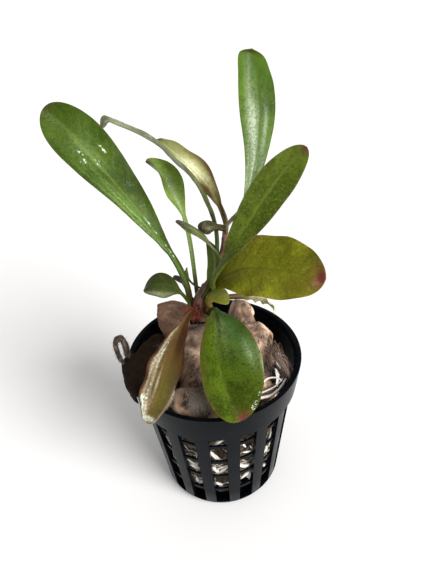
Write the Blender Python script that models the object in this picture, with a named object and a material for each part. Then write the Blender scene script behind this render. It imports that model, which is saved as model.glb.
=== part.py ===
"""A young rosette plant rooted in stone wool, in a black 5 cm net pot.

The frame: the origin is the centre of the pot's base, +Z is up, +X is to the right and
-Y is the front. Lengths are written in millimetres and angles in degrees, and each mesh
is scaled to metres when it is made.
"""
import math
from dataclasses import dataclass

import bpy
import bmesh
import numpy as np

MM = 0.001
GAP = 0.35
SHARP_ANGLE = 40.0

# The net pot: a tapered basket with a plain collar, sixteen upright ribs and four thin rings
POT_HEIGHT = 48.5
RIM_RADIUS = 25.0
COLLAR_FOOT_RADIUS = 23.8
COLLAR_FOOT = 39.3
BODY_TOP_RADIUS = 22.7
BODY_FOOT_RADIUS = 18.6
BODY_FOOT = 2.2
BASE_RADIUS = 17.5
WALL = 1.3
COLLAR_WALL = 1.04
RING_WALL = 0.6
RIM_LEDGE_DEPTH = 1.5
RIM_LEDGE = 0.5
RIB_COUNT = 16
WINDOW_ANGLE = 12.7
FRONT_WINDOW = -92.75
NOTCH_TOP = 8.3
RING_HEIGHT = 1.2
ROW_PITCH = 8.0
ROWS = 4
BASE_THICKNESS = 1.5
BASE_DISC_RADIUS = 6.0
BASE_HOOP_RADIUS = 14.5

# The stone wool: a torn plug that fills the lower pot and stands free of the wall higher up
WOOL_FOOT = 1.9
WOOL_FOOT_RADIUS = 11.0
WOOL_FOOT_ROUNDING = 7.0
WOOL_SIDE_GAP = 2.3
WOOL_SHOULDER = 31.0
WOOL_SHOULDER_TOP = 37.0
WOOL_EDGE_HEIGHT = 45.5
WOOL_EDGE_DROP = 1.6
WOOL_TOP_OF_SIDE = 43.0
WOOL_COLUMNS = 36
WOOL_RINGS = 9
WOOL_SIDE_ROWS = 7

# The stem: from the wool through the swollen crown to the growing tip
STEM_POINTS = [(-2.6, 5.5, 56.8), (-2.6, 5.5, 59.5), (-2.4, 5.6, 63.0), (-0.8, 5.7, 66.5),
               (1.4, 5.5, 71.5), (4.2, 5.2, 79.0), (5.6, 5.0, 86.3)]
STEM_RADII = [1.4, 1.9, 2.4, 2.0, 0.9, 0.7, 0.7]
STEM_SIDES = 8
STEM_STATIONS = 18


def quadratic(values, t):
    """The parabola through three values at t = 0, a half and 1."""
    first, middle, last = values
    return (first * (1 - t) * (1 - 2 * t) + middle * 4 * t * (1 - t)
            + last * t * (2 * t - 1))


def smooth_path(points, t):
    """A Catmull-Rom curve through the points, read at t from 0 to 1."""
    p = np.asarray(points, float)
    p = np.vstack([2 * p[0] - p[1], p, 2 * p[-1] - p[-2]])
    spans = len(p) - 3
    place = np.clip(np.asarray(t, float) * spans, 0, spans - 1e-9)
    i = place.astype(int)
    u = (place - i)[:, None]
    a, b, c, d = p[i], p[i + 1], p[i + 2], p[i + 3]
    return 0.5 * (2 * b + (c - a) * u + (2 * a - 5 * b + 4 * c - d) * u ** 2
                  + (3 * b - a - 3 * c + d) * u ** 3)


def unit(vectors):
    return vectors / np.linalg.norm(vectors, axis=-1, keepdims=True)


def smoothstep(low, high, x):
    u = np.clip((x - low) / (high - low), 0, 1)
    return u * u * (3 - 2 * u)


def clear_scene():
    for obj in list(bpy.data.objects):
        bpy.data.objects.remove(obj, do_unlink=True)


def material(name, colour, roughness, metallic=0.0):
    found = bpy.data.materials.get(name)
    if found:
        return found
    made = bpy.data.materials.new(name)
    made.use_nodes = True
    shader = made.node_tree.nodes["Principled BSDF"]
    shader.inputs["Base Color"].default_value = (*colour, 1.0)
    shader.inputs["Roughness"].default_value = roughness
    shader.inputs["Metallic"].default_value = metallic
    return made


def make_object(name, vertices, faces, look):
    """One closed body from millimetre points, with its faces turned outwards."""
    bm = bmesh.new()
    corners = [bm.verts.new(tuple(float(c) * MM for c in v)) for v in vertices]
    for face in faces:
        unique = list(dict.fromkeys(face))
        if len(unique) > 2:
            bm.faces.new([corners[i] for i in unique])
    bmesh.ops.delete(bm, geom=[v for v in bm.verts if not v.link_faces], context="VERTS")
    bmesh.ops.recalc_face_normals(bm, faces=bm.faces)
    mesh = bpy.data.meshes.new(name)
    bm.to_mesh(mesh)
    bm.free()
    obj = bpy.data.objects.new(name, mesh)
    bpy.context.scene.collection.objects.link(obj)
    mesh.materials.append(look)
    mesh.shade_smooth()
    mesh.set_sharp_from_angle(angle=math.radians(SHARP_ANGLE))
    return obj


def loft(rings, tip=None):
    """Faces that join rings of equal length, with a flat start and a flat or pointed end."""
    count, sides = rings.shape[:2]
    vertices = [tuple(p) for p in rings.reshape(-1, 3)]
    faces = []
    for i in range(count - 1):
        for j in range(sides):
            k = (j + 1) % sides
            faces.append((i * sides + j, i * sides + k, (i + 1) * sides + k, (i + 1) * sides + j))
    faces.append(tuple(range(sides)))
    last = (count - 1) * sides
    if tip is None:
        faces.append(tuple(range(last, last + sides)))
    else:
        vertices.append(tuple(tip))
        point = len(vertices) - 1
        faces += [(last + j, last + (j + 1) % sides, point) for j in range(sides)]
    return vertices, faces


def tube_rings(points, radii, sides, stations, across=(0.31, 0.17, 0.93), flat=1.0):
    """Rings around a smooth path, squeezed by the share flat in the direction across."""
    t = np.linspace(0, 1, stations)
    path = smooth_path(points, t)
    radius = np.interp(t, np.linspace(0, 1, len(radii)), radii)
    along = unit(np.gradient(path, axis=0))
    side = unit(np.cross(along, across))
    up = flat * np.cross(along, side)
    angle = np.linspace(0, 2 * np.pi, sides, endpoint=False)
    ring = (np.cos(angle)[None, :, None] * side[:, None, :]
            + np.sin(angle)[None, :, None] * up[:, None, :])
    return path[:, None, :] + radius[:, None, None] * ring


def tube(name, points, radii, sides, stations, look):
    """A round strand along a smooth path, its radius running through the radii."""
    return make_object(name, *loft(tube_rings(points, radii, sides, stations)), look)


# The pot is a stack of cells in angle, height and depth, and its faces lie where a solid
# cell meets an open one
DEPTHS = ["centre", "disc", "hoop", "inner", "ring", "outer", "lip"]


def outer_radius(z):
    if z <= BODY_FOOT:
        return BASE_RADIUS + (BODY_FOOT_RADIUS - BASE_RADIUS) * z / BODY_FOOT
    share = (z - BODY_FOOT) / (COLLAR_FOOT - BODY_FOOT)
    return BODY_FOOT_RADIUS + (BODY_TOP_RADIUS - BODY_FOOT_RADIUS) * share


def collar_radius(z):
    share = (z - COLLAR_FOOT) / (POT_HEIGHT - COLLAR_FOOT)
    return COLLAR_FOOT_RADIUS + (RIM_RADIUS - COLLAR_FOOT_RADIUS) * share


def inner_radius(z):
    if z <= COLLAR_FOOT:
        return outer_radius(z) - WALL
    share = (z - COLLAR_FOOT) / (POT_HEIGHT - COLLAR_FOOT)
    foot = outer_radius(COLLAR_FOOT) - WALL
    return foot + (RIM_RADIUS - WALL - RIM_LEDGE - foot) * share


def depth_radius(depth, z):
    """The radius of each depth line of the pot's wall and base at a height."""
    inner = inner_radius(z)
    outer = outer_radius(min(z, COLLAR_FOOT))
    if z > COLLAR_FOOT:
        outer = inner + COLLAR_WALL
    lip = collar_radius(max(z, COLLAR_FOOT))
    return {"centre": 0.0, "disc": BASE_DISC_RADIUS, "hoop": BASE_HOOP_RADIUS, "inner": inner,
            "ring": inner + RING_WALL, "outer": outer, "lip": lip}[depth]


def pot_levels():
    """The heights of the pot's level lines, and what fills the wall between them."""
    levels = [(0.0, "base"), (BASE_THICKNESS, "foot"), (BODY_FOOT, "notch")]
    for row in range(ROWS):
        foot = NOTCH_TOP + row * ROW_PITCH
        levels += [(foot, "ring"), (foot + RING_HEIGHT, "row")]
    levels += [(COLLAR_FOOT, "collar"), (POT_HEIGHT - RIM_LEDGE_DEPTH, "rim"), (POT_HEIGHT, "")]
    return levels


def cell_is_solid(kind, window, depth):
    """Whether the cell outside a depth line is plastic."""
    if kind == "base":
        return {"centre": True, "disc": not window, "hoop": True}.get(depth, depth != "outer")
    if kind == "collar":
        return depth in ("inner", "ring", "outer")
    if kind == "rim":
        return depth in ("ring", "outer")
    if kind == "ring":
        return depth == "inner" or (depth == "ring" and not window)
    return depth in ("inner", "ring") and (kind == "foot" or not window)


def build_pot():
    half_window = WINDOW_ANGLE / 2
    pitch = 360 / RIB_COUNT
    angles, windows = [], []
    for rib in range(RIB_COUNT):
        middle = FRONT_WINDOW + rib * pitch
        angles += [middle - half_window, middle + half_window]
        windows += [True, False]
    columns = len(angles)
    levels = pot_levels()

    def solid(column, level, depth):
        if level < 0 or level >= len(levels) - 1 or depth < 0 or depth >= len(DEPTHS) - 1:
            return False
        return cell_is_solid(levels[level][1], windows[column % columns], DEPTHS[depth])

    vertices, index = [], {}

    def corner(column, level, depth):
        key = (0 if depth == 0 else column % columns, level, depth)
        if key not in index:
            z = levels[level][0]
            radius = depth_radius(DEPTHS[depth], z)
            angle = math.radians(angles[key[0]])
            index[key] = len(vertices)
            vertices.append((radius * math.cos(angle), radius * math.sin(angle), z))
        return index[key]

    faces = []
    for c in range(columns):
        for l in range(len(levels) - 1):
            for d in range(len(DEPTHS) - 1):
                if not solid(c, l, d):
                    continue
                near = [(c, l, d), (c + 1, l, d), (c + 1, l + 1, d), (c, l + 1, d)]
                far = [(i, j, d + 1) for i, j, k in near]
                sides = [((c, l, d - 1), near), ((c, l, d + 1), far)]
                for step, edge in (((c, l - 1, d), (0, 1)), ((c + 1, l, d), (1, 2)),
                                   ((c, l + 1, d), (2, 3)), ((c - 1, l, d), (3, 0))):
                    i, j = edge
                    sides.append((step, [near[i], near[j], far[j], far[i]]))
                for neighbour, around in sides:
                    if not solid(*neighbour) and not (d == 0 and neighbour[2] < 0):
                        faces.append(tuple(corner(*key) for key in around))
    look = material("black_plastic", (0.012, 0.014, 0.018), 0.38)
    make_object("net_pot", vertices, faces, look)


# Each heap of the wool's top: where its middle is, how far it spreads, how high it stands,
# and the power that rounds its top
WOOL_HEAPS = [
    ((-2.5, 5.0), (8.0, 7.0), 9.0, 2),
    ((-11.5, 10.5), (3.8, 4.6), 6.0, 2),
    ((9.0, 11.0), (4.4, 4.4), 11.2, 4),
    ((12.5, 3.0), (6.5, 6.5), 9.0, 3),
    ((-6.0, 0.5), (3.5, 3.2), 2.5, 2),
    ((-6.2, -6.5), (3.6, 2.8), 5.5, 2),
    ((-7.5, -15.5), (6.0, 4.0), 4.5, 2),
    ((3.0, -8.0), (6.0, 7.0), 4.5, 2),
    ((-19.0, 3.0), (6.0, 4.5), 5.0, 2),
]
# Where the plug has pulled away from the wall: the middle, the spread and the extra gap
WOOL_FREE_SIDES = [(25.0, 48.0, 3.9), (132.0, 20.0, 3.8), (88.0, 24.0, 2.5)]
# A flat lobe of the wool that stands up behind the leaves on the left
FLAP_POINTS = [(-9.6, 6.8, 47.0), (-10.8, 8.2, 52.0), (-11.3, 10.2, 56.0), (-11.0, 12.0, 59.4)]
FLAP_RADII = [3.6, 4.5, 4.7, 4.0]
FLAP_FLATNESS = 0.55
FLAP_SIDES = 12
FLAP_STATIONS = 9
# A soaked sheet of the wool that drapes over the rim on the left: at each station from the
# plug outwards, its radius and height, and the compass directions of its back and front edges
SHEET_STATIONS = [
    (13.0, 45.6, 146, 222), (16.0, 47.6, 146, 221), (18.8, 49.0, 149, 220), (20.6, 49.5, 160, 219),
    (22.6, 49.7, 174, 218), (24.9, 49.6, 179, 217), (26.0, 48.7, 180, 216), (26.1, 46.6, 183, 213),
    (25.9, 44.4, 189, 207)]
SHEET_THICKNESS = 0.8
SHEET_COLUMNS = 9


def wool_height(x, y):
    """The top of the wool: a flat edge with smooth heaps on it."""
    height = WOOL_EDGE_HEIGHT + 0 * x
    for (cx, cy), (sx, sy), rise, power in WOOL_HEAPS:
        away = np.hypot((x - cx) / sx, (y - cy) / sy)
        height = height + rise * np.exp(-away ** power)
    return height


def wool_side_radius(angle, z):
    """The plug's side: close to the wall below the shoulder, torn free of it above."""
    extra = 0 * angle
    for middle, spread, gap in WOOL_FREE_SIDES:
        off = (np.degrees(angle) - middle + 180) % 360 - 180
        extra = extra + gap * np.exp(-(off / spread) ** 2)
    free = smoothstep(WOOL_SHOULDER, WOOL_SHOULDER_TOP, z)
    wall = np.vectorize(inner_radius)(z)
    lumps = 0.5 * np.sin(3 * angle + 0.30 * z) + 0.4 * np.sin(5 * angle - 0.45 * z)
    full = wall - WOOL_SIDE_GAP + lumps - extra * free
    foot = smoothstep(WOOL_FOOT - 1.0, WOOL_FOOT + WOOL_FOOT_ROUNDING, z)
    return WOOL_FOOT_RADIUS + (full - WOOL_FOOT_RADIUS) * foot


def join(base, addition):
    """Unite two overlapping bodies into the first."""
    union = base.modifiers.new("union", "BOOLEAN")
    union.operation = "UNION"
    union.object = addition
    addition.hide_render = True
    addition.display_type = "WIRE"


def slab(upper, lower):
    """Faces that close two grids of points, one over the other, round all four edges."""
    rows, columns = upper.shape[:2]
    vertices = [tuple(p) for p in np.concatenate([upper.reshape(-1, 3), lower.reshape(-1, 3)])]
    below = rows * columns
    faces = []
    for i in range(rows - 1):
        for j in range(columns - 1):
            cell = [i * columns + j, i * columns + j + 1, (i + 1) * columns + j + 1,
                    (i + 1) * columns + j]
            faces += [tuple(cell), tuple(below + k for k in reversed(cell))]
    border = ([(0, j) for j in range(columns)]
              + [(i, columns - 1) for i in range(1, rows)]
              + [(rows - 1, j) for j in range(columns - 2, -1, -1)]
              + [(i, 0) for i in range(rows - 2, 0, -1)])
    around = [i * columns + j for i, j in border]
    for a, b in zip(around, around[1:] + around[:1]):
        faces.append((b, a, below + a, below + b))
    return vertices, faces


def sheet_grids():
    """The draped sheet's upper and lower sides, half its thickness either way of its middle."""
    radius, height, back, front = np.array(SHEET_STATIONS, float).T
    slope = unit(np.stack([np.gradient(radius), np.gradient(height)], 1))
    across = np.linspace(0, 1, SHEET_COLUMNS)[None, :]
    angle = np.radians(back[:, None] * (1 - across) + front[:, None] * across)
    sides = []
    for way in (0.5, -0.5):
        r = (radius - way * SHEET_THICKNESS * slope[:, 1])[:, None]
        z = (height + way * SHEET_THICKNESS * slope[:, 0])[:, None] + 0 * angle
        sides.append(np.stack([r * np.cos(angle), r * np.sin(angle), z], 2))
    return sides


def build_wool():
    """A plug of stacked rings up its side and over its top, with the lobe and the sheet joined
    on."""
    angle = np.linspace(0, 2 * np.pi, WOOL_COLUMNS, endpoint=False)
    edge = wool_side_radius(angle, np.full_like(angle, WOOL_EDGE_HEIGHT))
    rings = []
    for height in np.linspace(WOOL_FOOT, WOOL_TOP_OF_SIDE, WOOL_SIDE_ROWS + 1):
        z = np.full_like(angle, height)
        radius = wool_side_radius(angle, z)
        rings.append(np.stack([radius * np.cos(angle), radius * np.sin(angle), z], 1))
    for share in np.linspace(1, 0, WOOL_RINGS + 1)[:-1]:
        x, y = edge * share * np.cos(angle), edge * share * np.sin(angle)
        drop = WOOL_EDGE_DROP * smoothstep(0.82, 1.0, share)
        rings.append(np.stack([x, y, wool_height(x, y) - drop], 1))
    top = (0.0, 0.0, float(wool_height(np.array(0.0), np.array(0.0))))
    look = material("stone_wool", (0.20, 0.125, 0.095), 0.95)
    wool = make_object("stone_wool", *loft(np.array(rings), top), look)
    flap = tube_rings(FLAP_POINTS, FLAP_RADII, FLAP_SIDES, FLAP_STATIONS, (0.0, 1.0, 0.0),
                      FLAP_FLATNESS)
    join(wool, make_object("flap_to_join", *loft(flap), look))
    join(wool, make_object("sheet_to_join", *slab(*sheet_grids()), look))


@dataclass
class Leaf:
    """A leaf as real sizes: its length, its widest width and how its midrib runs.

    heading, rise and roll are degrees at the foot, the middle and the tip of the midrib:
    the compass direction it runs in, how steeply it climbs, and how its face is turned.
    neck and widest are shares of the length, blunt squares the tip off, and fold lifts
    both halves from the midrib, left and right. hook is how many degrees the last of the
    tip bends down, and cut is the share of the closing curve at which the tip is cut square.
    """
    name: str
    colour: str
    base: tuple
    length: float
    heading: tuple
    rise: tuple
    roll: tuple
    width: float
    stalk: float
    neck: float
    widest: float
    blunt: float
    fold: tuple
    stations: int = 12
    hook: float = 0.0
    cut: float = 1.0


LEAF_MIDDLE_THICKNESS = 0.8
LEAF_EDGE_THICKNESS = 0.35
# Leaves narrower than this are thinner, by this share
SMALL_LEAF_WIDTH = 5.5
SMALL_LEAF_SHARE = 0.6
# The last ring of a leaf lies just before its tip, and the rings crowd towards it
LAST_RING_SHARE = 0.985
RING_CROWDING = 1.25
# How suddenly a cut tip closes
CUT_POWER = 24
# The shares of the length between which a hooked tip bends
HOOK_START, HOOK_END = 0.95, 0.98


def leaf_frames(leaf, t):
    """The midrib's points, and the leaf's own side and face directions along it."""
    fine = np.linspace(0, 1, 241)
    heading = np.radians(quadratic(leaf.heading, fine))
    rise = np.radians(quadratic(leaf.rise, fine)
                      - leaf.hook * smoothstep(HOOK_START, HOOK_END, fine))
    along = np.stack([np.cos(rise) * np.cos(heading), np.cos(rise) * np.sin(heading),
                      np.sin(rise)], 1)
    steps = (along[1:] + along[:-1]) / 2 * leaf.length / (len(fine) - 1)
    midrib = np.vstack([np.zeros(3), np.cumsum(steps, axis=0)]) + np.array(leaf.base)
    midrib = np.stack([np.interp(t, fine, midrib[:, k]) for k in range(3)], 1)
    heading, rise = np.interp(t, fine, heading), np.interp(t, fine, rise)
    along = np.stack([np.cos(rise) * np.cos(heading), np.cos(rise) * np.sin(heading),
                      np.sin(rise)], 1)
    level = np.stack([-np.sin(heading), np.cos(heading), 0 * heading], 1)
    upright = np.cross(along, level)
    roll = np.radians(quadratic(leaf.roll, t))[:, None]
    side = np.cos(roll) * level + np.sin(roll) * upright
    face = np.cos(roll) * upright - np.sin(roll) * level
    return midrib, side, face


def leaf_half_width(leaf, t):
    """A stalk that swells on half a cosine wave and closes on a blunted ellipse, or on the
    first part of one where the tip is cut."""
    swell = np.clip((t - leaf.neck) / (leaf.widest - leaf.neck), 0, 1)
    close = np.clip((t - leaf.widest) / (1 - leaf.widest), 0, 1)
    blade = leaf.width / 2 * (0.5 - 0.5 * np.cos(np.pi * swell))
    kept = leaf.cut ** leaf.blunt
    closed = kept * close ** leaf.blunt + (1 - kept) * close ** CUT_POWER
    blade = blade * np.sqrt(np.clip(1 - closed, 0, 1))
    return np.where(t < leaf.widest, np.maximum(blade, leaf.stalk / 2), blade)


def stem_clearance(points):
    """How far points stand from the stem's surface."""
    t = np.linspace(0, 1, 120)
    path = smooth_path(STEM_POINTS, t)
    radius = np.interp(t, np.linspace(0, 1, len(STEM_RADII)), STEM_RADII)
    away = np.linalg.norm(points[:, None, :] - path[None, :, :], axis=2) - radius[None, :]
    return away.min(axis=1)


def first_clear_share(leaf):
    """The first share of the midrib at which the leaf stands clear of the stem."""
    t = np.linspace(0, 0.5, 101)
    midrib = leaf_frames(leaf, t)[0]
    clear = stem_clearance(midrib) > leaf.stalk / 2 + GAP
    return float(t[int(np.argmax(clear))])


def build_leaf(leaf):
    """Six-sided rings along the midrib: thick in the middle, thin at both edges."""
    start = first_clear_share(leaf)
    share = np.linspace(0, 1, leaf.stations)
    t = start + (LAST_RING_SHARE - start) * (1 - (1 - share) ** RING_CROWDING)
    midrib, side, face = leaf_frames(leaf, t)
    half = leaf_half_width(leaf, t)[:, None]
    thinning = 1.0 if leaf.width > SMALL_LEAF_WIDTH else SMALL_LEAF_SHARE
    middle = thinning * LEAF_MIDDLE_THICKNESS / 2 * face
    edge = thinning * LEAF_EDGE_THICKNESS / 2 * face
    left_fold, right_fold = (math.radians(f) for f in leaf.fold)
    left = midrib + half * (math.cos(left_fold) * side + math.sin(left_fold) * face)
    right = midrib + half * (math.sin(right_fold) * face - math.cos(right_fold) * side)
    rings = np.stack([left + edge, midrib + middle, right + edge,
                      right - edge, midrib - middle, left - edge], 1)
    tip = leaf_frames(leaf, np.array([1.0]))[0][0]
    return make_object(leaf.name, *loft(rings, tip), leaf_look(leaf.colour))


LEAF_COLOURS = {
    "green": ((0.075, 0.17, 0.025), 0.35),
    "olive": ((0.15, 0.15, 0.02), 0.45),
    "yellow": ((0.36, 0.33, 0.10), 0.40),
    "brown": ((0.19, 0.12, 0.04), 0.35),
    "grey": ((0.12, 0.17, 0.08), 0.45),
}


def leaf_look(name):
    colour, roughness = LEAF_COLOURS[name]
    return material("leaf_" + name, colour, roughness)


LEAVES = [
    Leaf("leaf_left_large", "green", (-5.6, 6.2, 63.5), 63.5, (204, 154, 162), (90, 52, 52),
         (-90, -20, -60), 13.5, 1.7, 0.10, 0.80, 2.2, (20, 20), 14),
    Leaf("leaf_left_arched", "grey", (2.0, 6.4, 74.0), 60.0, (136, 208, 232), (108, 58, 28),
         (-15, -20, -30), 5.5, 1.2, 0.15, 0.50, 1.8, (-5, -5), 16, 80),
    Leaf("leaf_old_yellow", "yellow", (5.8, 7.0, 87.0), 28.5, (124, 154, 116), (70, 44, 14),
         (-75, -20, 0), 7.5, 1.4, 0.00, 0.60, 1.2, (25, 25), 10),
    Leaf("leaf_left_middle", "green", (-3.5, 8.9, 63.5), 42.0, (136, 134, 186), (88, 80, 40),
         (-5, -50, 15), 8.5, 1.2, 0.50, 0.90, 1.6, (25, 25), 13),
    Leaf("leaf_grey_small", "grey", (3.8, 2.1, 77.0), 25.0, (-82, -138, -154), (54, 56, 34),
         (-10, -25, -10), 4.4, 0.6, 0.10, 0.70, 3.0, (0, 0), 10),
    Leaf("leaf_curled", "grey", (5.2, 3.9, 87.0), 7.0, (186, 202, 208), (20, 16, -28),
         (-15, -65, -30), 3.6, 1.6, 0.05, 0.75, 3.4, (10, 10), 6),
    Leaf("leaf_tall", "green", (1.0, 7.6, 67.5), 64.0, (20, 44, 66), (60, 70, 122),
         (0, 5, -10), 10.0, 1.6, 0.25, 0.78, 2.2, (10, 10), 14, cut=0.82),
    Leaf("leaf_right", "green", (1.3, 1.8, 70.2), 48.0, (-104, 0, -8), (58, 59, 42),
         (40, 60, 75), 8.8, 1.4, 0.05, 0.77, 1.8, (10, 10), 13),
    Leaf("leaf_round", "olive", (1.6, 5.0, 66.8), 36.5, (-32, -34, -34), (74, 16, 8),
         (45, 30, 50), 18.0, 3.0, -0.08, 0.53, 2.2, (15, 15), 13),
    Leaf("leaf_front", "green", (0.0, 2.6, 60.9), 37.5, (-66, -86, -72), (66, -38, -40),
         (-15, -10, -5), 18.0, 2.0, 0.05, 0.60, 2.6, (25, 30), 13),
    Leaf("leaf_front_brown", "brown", (-4.6, 3.2, 61.5), 35.5, (-106, -120, -124), (36, -38, -32),
         (-5, 5, 10), 11.0, 1.8, 0.05, 0.65, 2.4, (15, 15), 12),
    Leaf("leaf_left_small", "green", (-5.2, 4.2, 61.8), 18.0, (174, 188, 190), (76, 42, -36),
         (15, -25, 15), 9.0, 1.0, 0.25, 0.75, 1.6, (0, 0), 9),
    Leaf("leaf_crown_yellow", "olive", (0.0, 2.6, 63.3), 12.5, (-26, -50, -30), (122, 32, -48),
         (0, 25, 5), 5.0, 1.6, 0.10, 0.60, 2.0, (5, 5), 7),
    Leaf("leaf_back_ragged", "yellow", (0.0, 6.8, 63.5), 24.0, (4, 20, -10), (-12, -24, -62),
         (-5, -70, 10), 4.5, 1.8, 0.35, 0.85, 2.2, (-5, -5), 9),
    Leaf("leaf_upright", "green", (-1.7, 3.9, 66.0), 20.0, (-20, 6, 14), (60, 80, 122),
         (80, 80, 35), 4.0, 1.2, 0.00, 0.50, 2.2, (10, 10), 9),
    Leaf("leaf_crown_small", "yellow", (-1.2, 2.3, 60.0), 7.0, (-72, -60, -54), (14, 26, -2),
         (10, 0, -30), 7.5, 1.6, 0.05, 0.60, 2.2, (-10, -10), 7),
    Leaf("bud_left", "brown", (-5.0, 7.4, 63.0), 9.0, (140, 160, 192), (46, 68, 2),
         (0, -5, 0), 3.0, 1.0, 0.50, 0.80, 2.2, (5, 5), 8),
    Leaf("bud_stub", "brown", (-1.0, 7.0, 66.5), 9.5, (176, 166, 174), (4, 56, 106),
         (0, -5, -15), 2.8, 0.6, 0.50, 0.80, 2.6, (0, 0), 9),
    Leaf("shoot_tip", "brown", (5.5, 4.5, 87.0), 9.0, (-8, -4, -10), (54, 44, 16),
         (5, 10, 0), 2.0, 1.0, 0.10, 0.45, 2.2, (0, 0), 6),
]

# White roots that lie on the wool in the gap at the front right of the rim
ROOTS = {
    "root_front_upper": ([(12.0, -13.0, 47.6), (14.0, -11.6, 48.2), (16.4, -11.8, 48.4),
                          (17.6, -12.8, 48.1)], 0.30),
    "root_front_middle": ([(11.4, -15.2, 46.6), (14.0, -14.0, 46.4), (16.4, -12.4, 46.2),
                           (18.2, -10.4, 46.4)], 0.30),
    "root_front_thick": ([(11.0, -17.4, 47.2), (14.0, -16.6, 46.9), (16.8, -14.2, 46.7),
                          (19.0, -11.0, 46.8)], 0.45),
}
ROOT_SIDES = 5
ROOT_STATIONS = 10
ROOT_TAPER = 0.6

# A torn shred of wool that loops over the rim on the left
TUFT_POINTS = [(-24.6, -1.8, 51.1), (-24.6, -0.3, 52.0), (-25.0, 0.9, 53.6), (-25.8, 2.0, 54.8),
               (-27.0, 2.2, 55.0), (-27.7, 1.6, 53.7), (-27.6, 0.8, 51.9), (-27.1, -0.4, 50.9),
               (-26.2, -2.4, 50.8), (-25.5, -3.9, 50.8)]
TUFT_RADII = [0.6, 0.95, 1.0, 0.95, 0.9, 0.75, 0.75, 0.7, 0.6, 0.45]
TUFT_SIDES = 7
TUFT_STATIONS = 18


def build_all():
    clear_scene()
    build_pot()
    build_wool()
    root_look = material("root_white", (0.72, 0.66, 0.54), 0.5)
    wool_look = material("stone_wool_dark", (0.11, 0.085, 0.06), 0.95)
    for name, (points, radius) in ROOTS.items():
        radii = [radius, radius, radius * ROOT_TAPER]
        tube(name, points, radii, ROOT_SIDES, ROOT_STATIONS, root_look)
    tube("wool_tuft", TUFT_POINTS, TUFT_RADII, TUFT_SIDES, TUFT_STATIONS, wool_look)
    stem_look = material("stem_red_brown", (0.13, 0.055, 0.03), 0.5)
    tube("stem", STEM_POINTS, STEM_RADII, STEM_SIDES, STEM_STATIONS, stem_look)
    for leaf in LEAVES:
        build_leaf(leaf)


build_all()
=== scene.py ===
# %% [markdown]
# # A young rosette plant in a black net pot
#
# Water plants are sold as small plugs: a net pot of black plastic, 5 cm across, holds a torn
# plug of stone wool, and the young plant is rooted in the wool. This notebook dresses the
# CAD model of such a pot. The CAD model comes in first, as a frame in metres, and every
# piece that is made here goes where the frame says.

# %% Load the frame
import math
from dataclasses import dataclass, field

import bpy
import numpy as np
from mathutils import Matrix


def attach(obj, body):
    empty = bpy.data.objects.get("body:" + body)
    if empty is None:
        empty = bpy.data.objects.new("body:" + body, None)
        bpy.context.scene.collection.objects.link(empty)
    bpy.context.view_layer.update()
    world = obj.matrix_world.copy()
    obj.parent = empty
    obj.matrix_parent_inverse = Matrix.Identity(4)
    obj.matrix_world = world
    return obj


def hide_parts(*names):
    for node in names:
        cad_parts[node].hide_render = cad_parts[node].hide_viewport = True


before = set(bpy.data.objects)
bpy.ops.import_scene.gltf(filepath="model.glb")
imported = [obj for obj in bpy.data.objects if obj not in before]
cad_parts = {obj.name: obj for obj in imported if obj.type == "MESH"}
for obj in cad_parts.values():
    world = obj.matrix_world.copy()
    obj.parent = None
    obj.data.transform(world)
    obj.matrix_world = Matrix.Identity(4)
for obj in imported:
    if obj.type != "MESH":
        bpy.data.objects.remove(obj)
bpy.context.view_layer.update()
MM = 0.001

# %% [markdown]
# ## The camera
#
# The pot stood on a white table and was seen from above its front edge. A camera can be
# placed with three numbers for its position and three for its aim: the compass direction it
# looks in, how far it dips below the horizon, and how far it leans to one side. From these
# its three axes follow as vectors, which are the columns of its rotation.

# %% Aim the camera
# The place is in millimetres and the three angles are in degrees
CAMERA_PLACE = (0.0, -110.06, 152.76)
CAMERA_HEADING = 1.303
CAMERA_DIP = 36.054
CAMERA_LEAN = 3.935
FOCAL_PIXELS = 520.0
FRAME_HEIGHT = 569.0
SENSOR = 36.0
NEAREST_SEEN = 10.0


def camera_axes(heading, dip, lean):
    """Right, up and forward: forward from the two angles, then right and up turned by the lean."""
    h, p, r = (math.radians(a) for a in (heading, -dip, -lean))
    forward = np.array([math.sin(h) * math.cos(p), math.cos(h) * math.cos(p), math.sin(p)])
    level = np.array([math.cos(h), -math.sin(h), 0.0])
    above = np.cross(level, forward)
    right = math.cos(r) * level + math.sin(r) * above
    return right, np.cross(right, forward), forward


camera_data = bpy.data.cameras.new("camera")
camera_data.sensor_width = SENSOR
camera_data.lens = SENSOR * FOCAL_PIXELS / FRAME_HEIGHT
camera_data.clip_start = NEAREST_SEEN * MM
camera = bpy.data.objects.new("camera", camera_data)
bpy.context.scene.collection.objects.link(camera)
right, above, forward = camera_axes(CAMERA_HEADING, CAMERA_DIP, CAMERA_LEAN)
place = np.eye(4)
place[:3, :3] = np.stack([right, above, -forward], 1)
place[:3, 3] = np.array(CAMERA_PLACE) * MM
camera.matrix_world = place.T
bpy.context.scene.camera = camera
print("lens in mm:", round(camera_data.lens, 2))

# %% [markdown]
# ## Curves, grids and noise
#
# Nearly every piece is a grid of points worked out from two parameters, such as the distance
# along a leaf and the way round it. A few small tools are enough: a step and a bell that have
# no corners, a parabola through three values, a smooth curve through points, and a soft noise
# that gives the same value each time at the same place.

# %% Curve tools
def unit(vectors):
    """Each vector divided by its own length."""
    return vectors / np.maximum(np.linalg.norm(vectors, axis=-1, keepdims=True), 1e-12)


def ease(low, high, x):
    """Rises from 0 at low to 1 at high along 3u^2 - 2u^3."""
    u = np.clip((x - low) / (high - low), 0, 1)
    return u * u * (3 - 2 * u)


def bell(x, middle, spread):
    """A bell curve: e to the power of minus the squared distance in spreads."""
    return np.exp(-((x - middle) / spread) ** 2)


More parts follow.
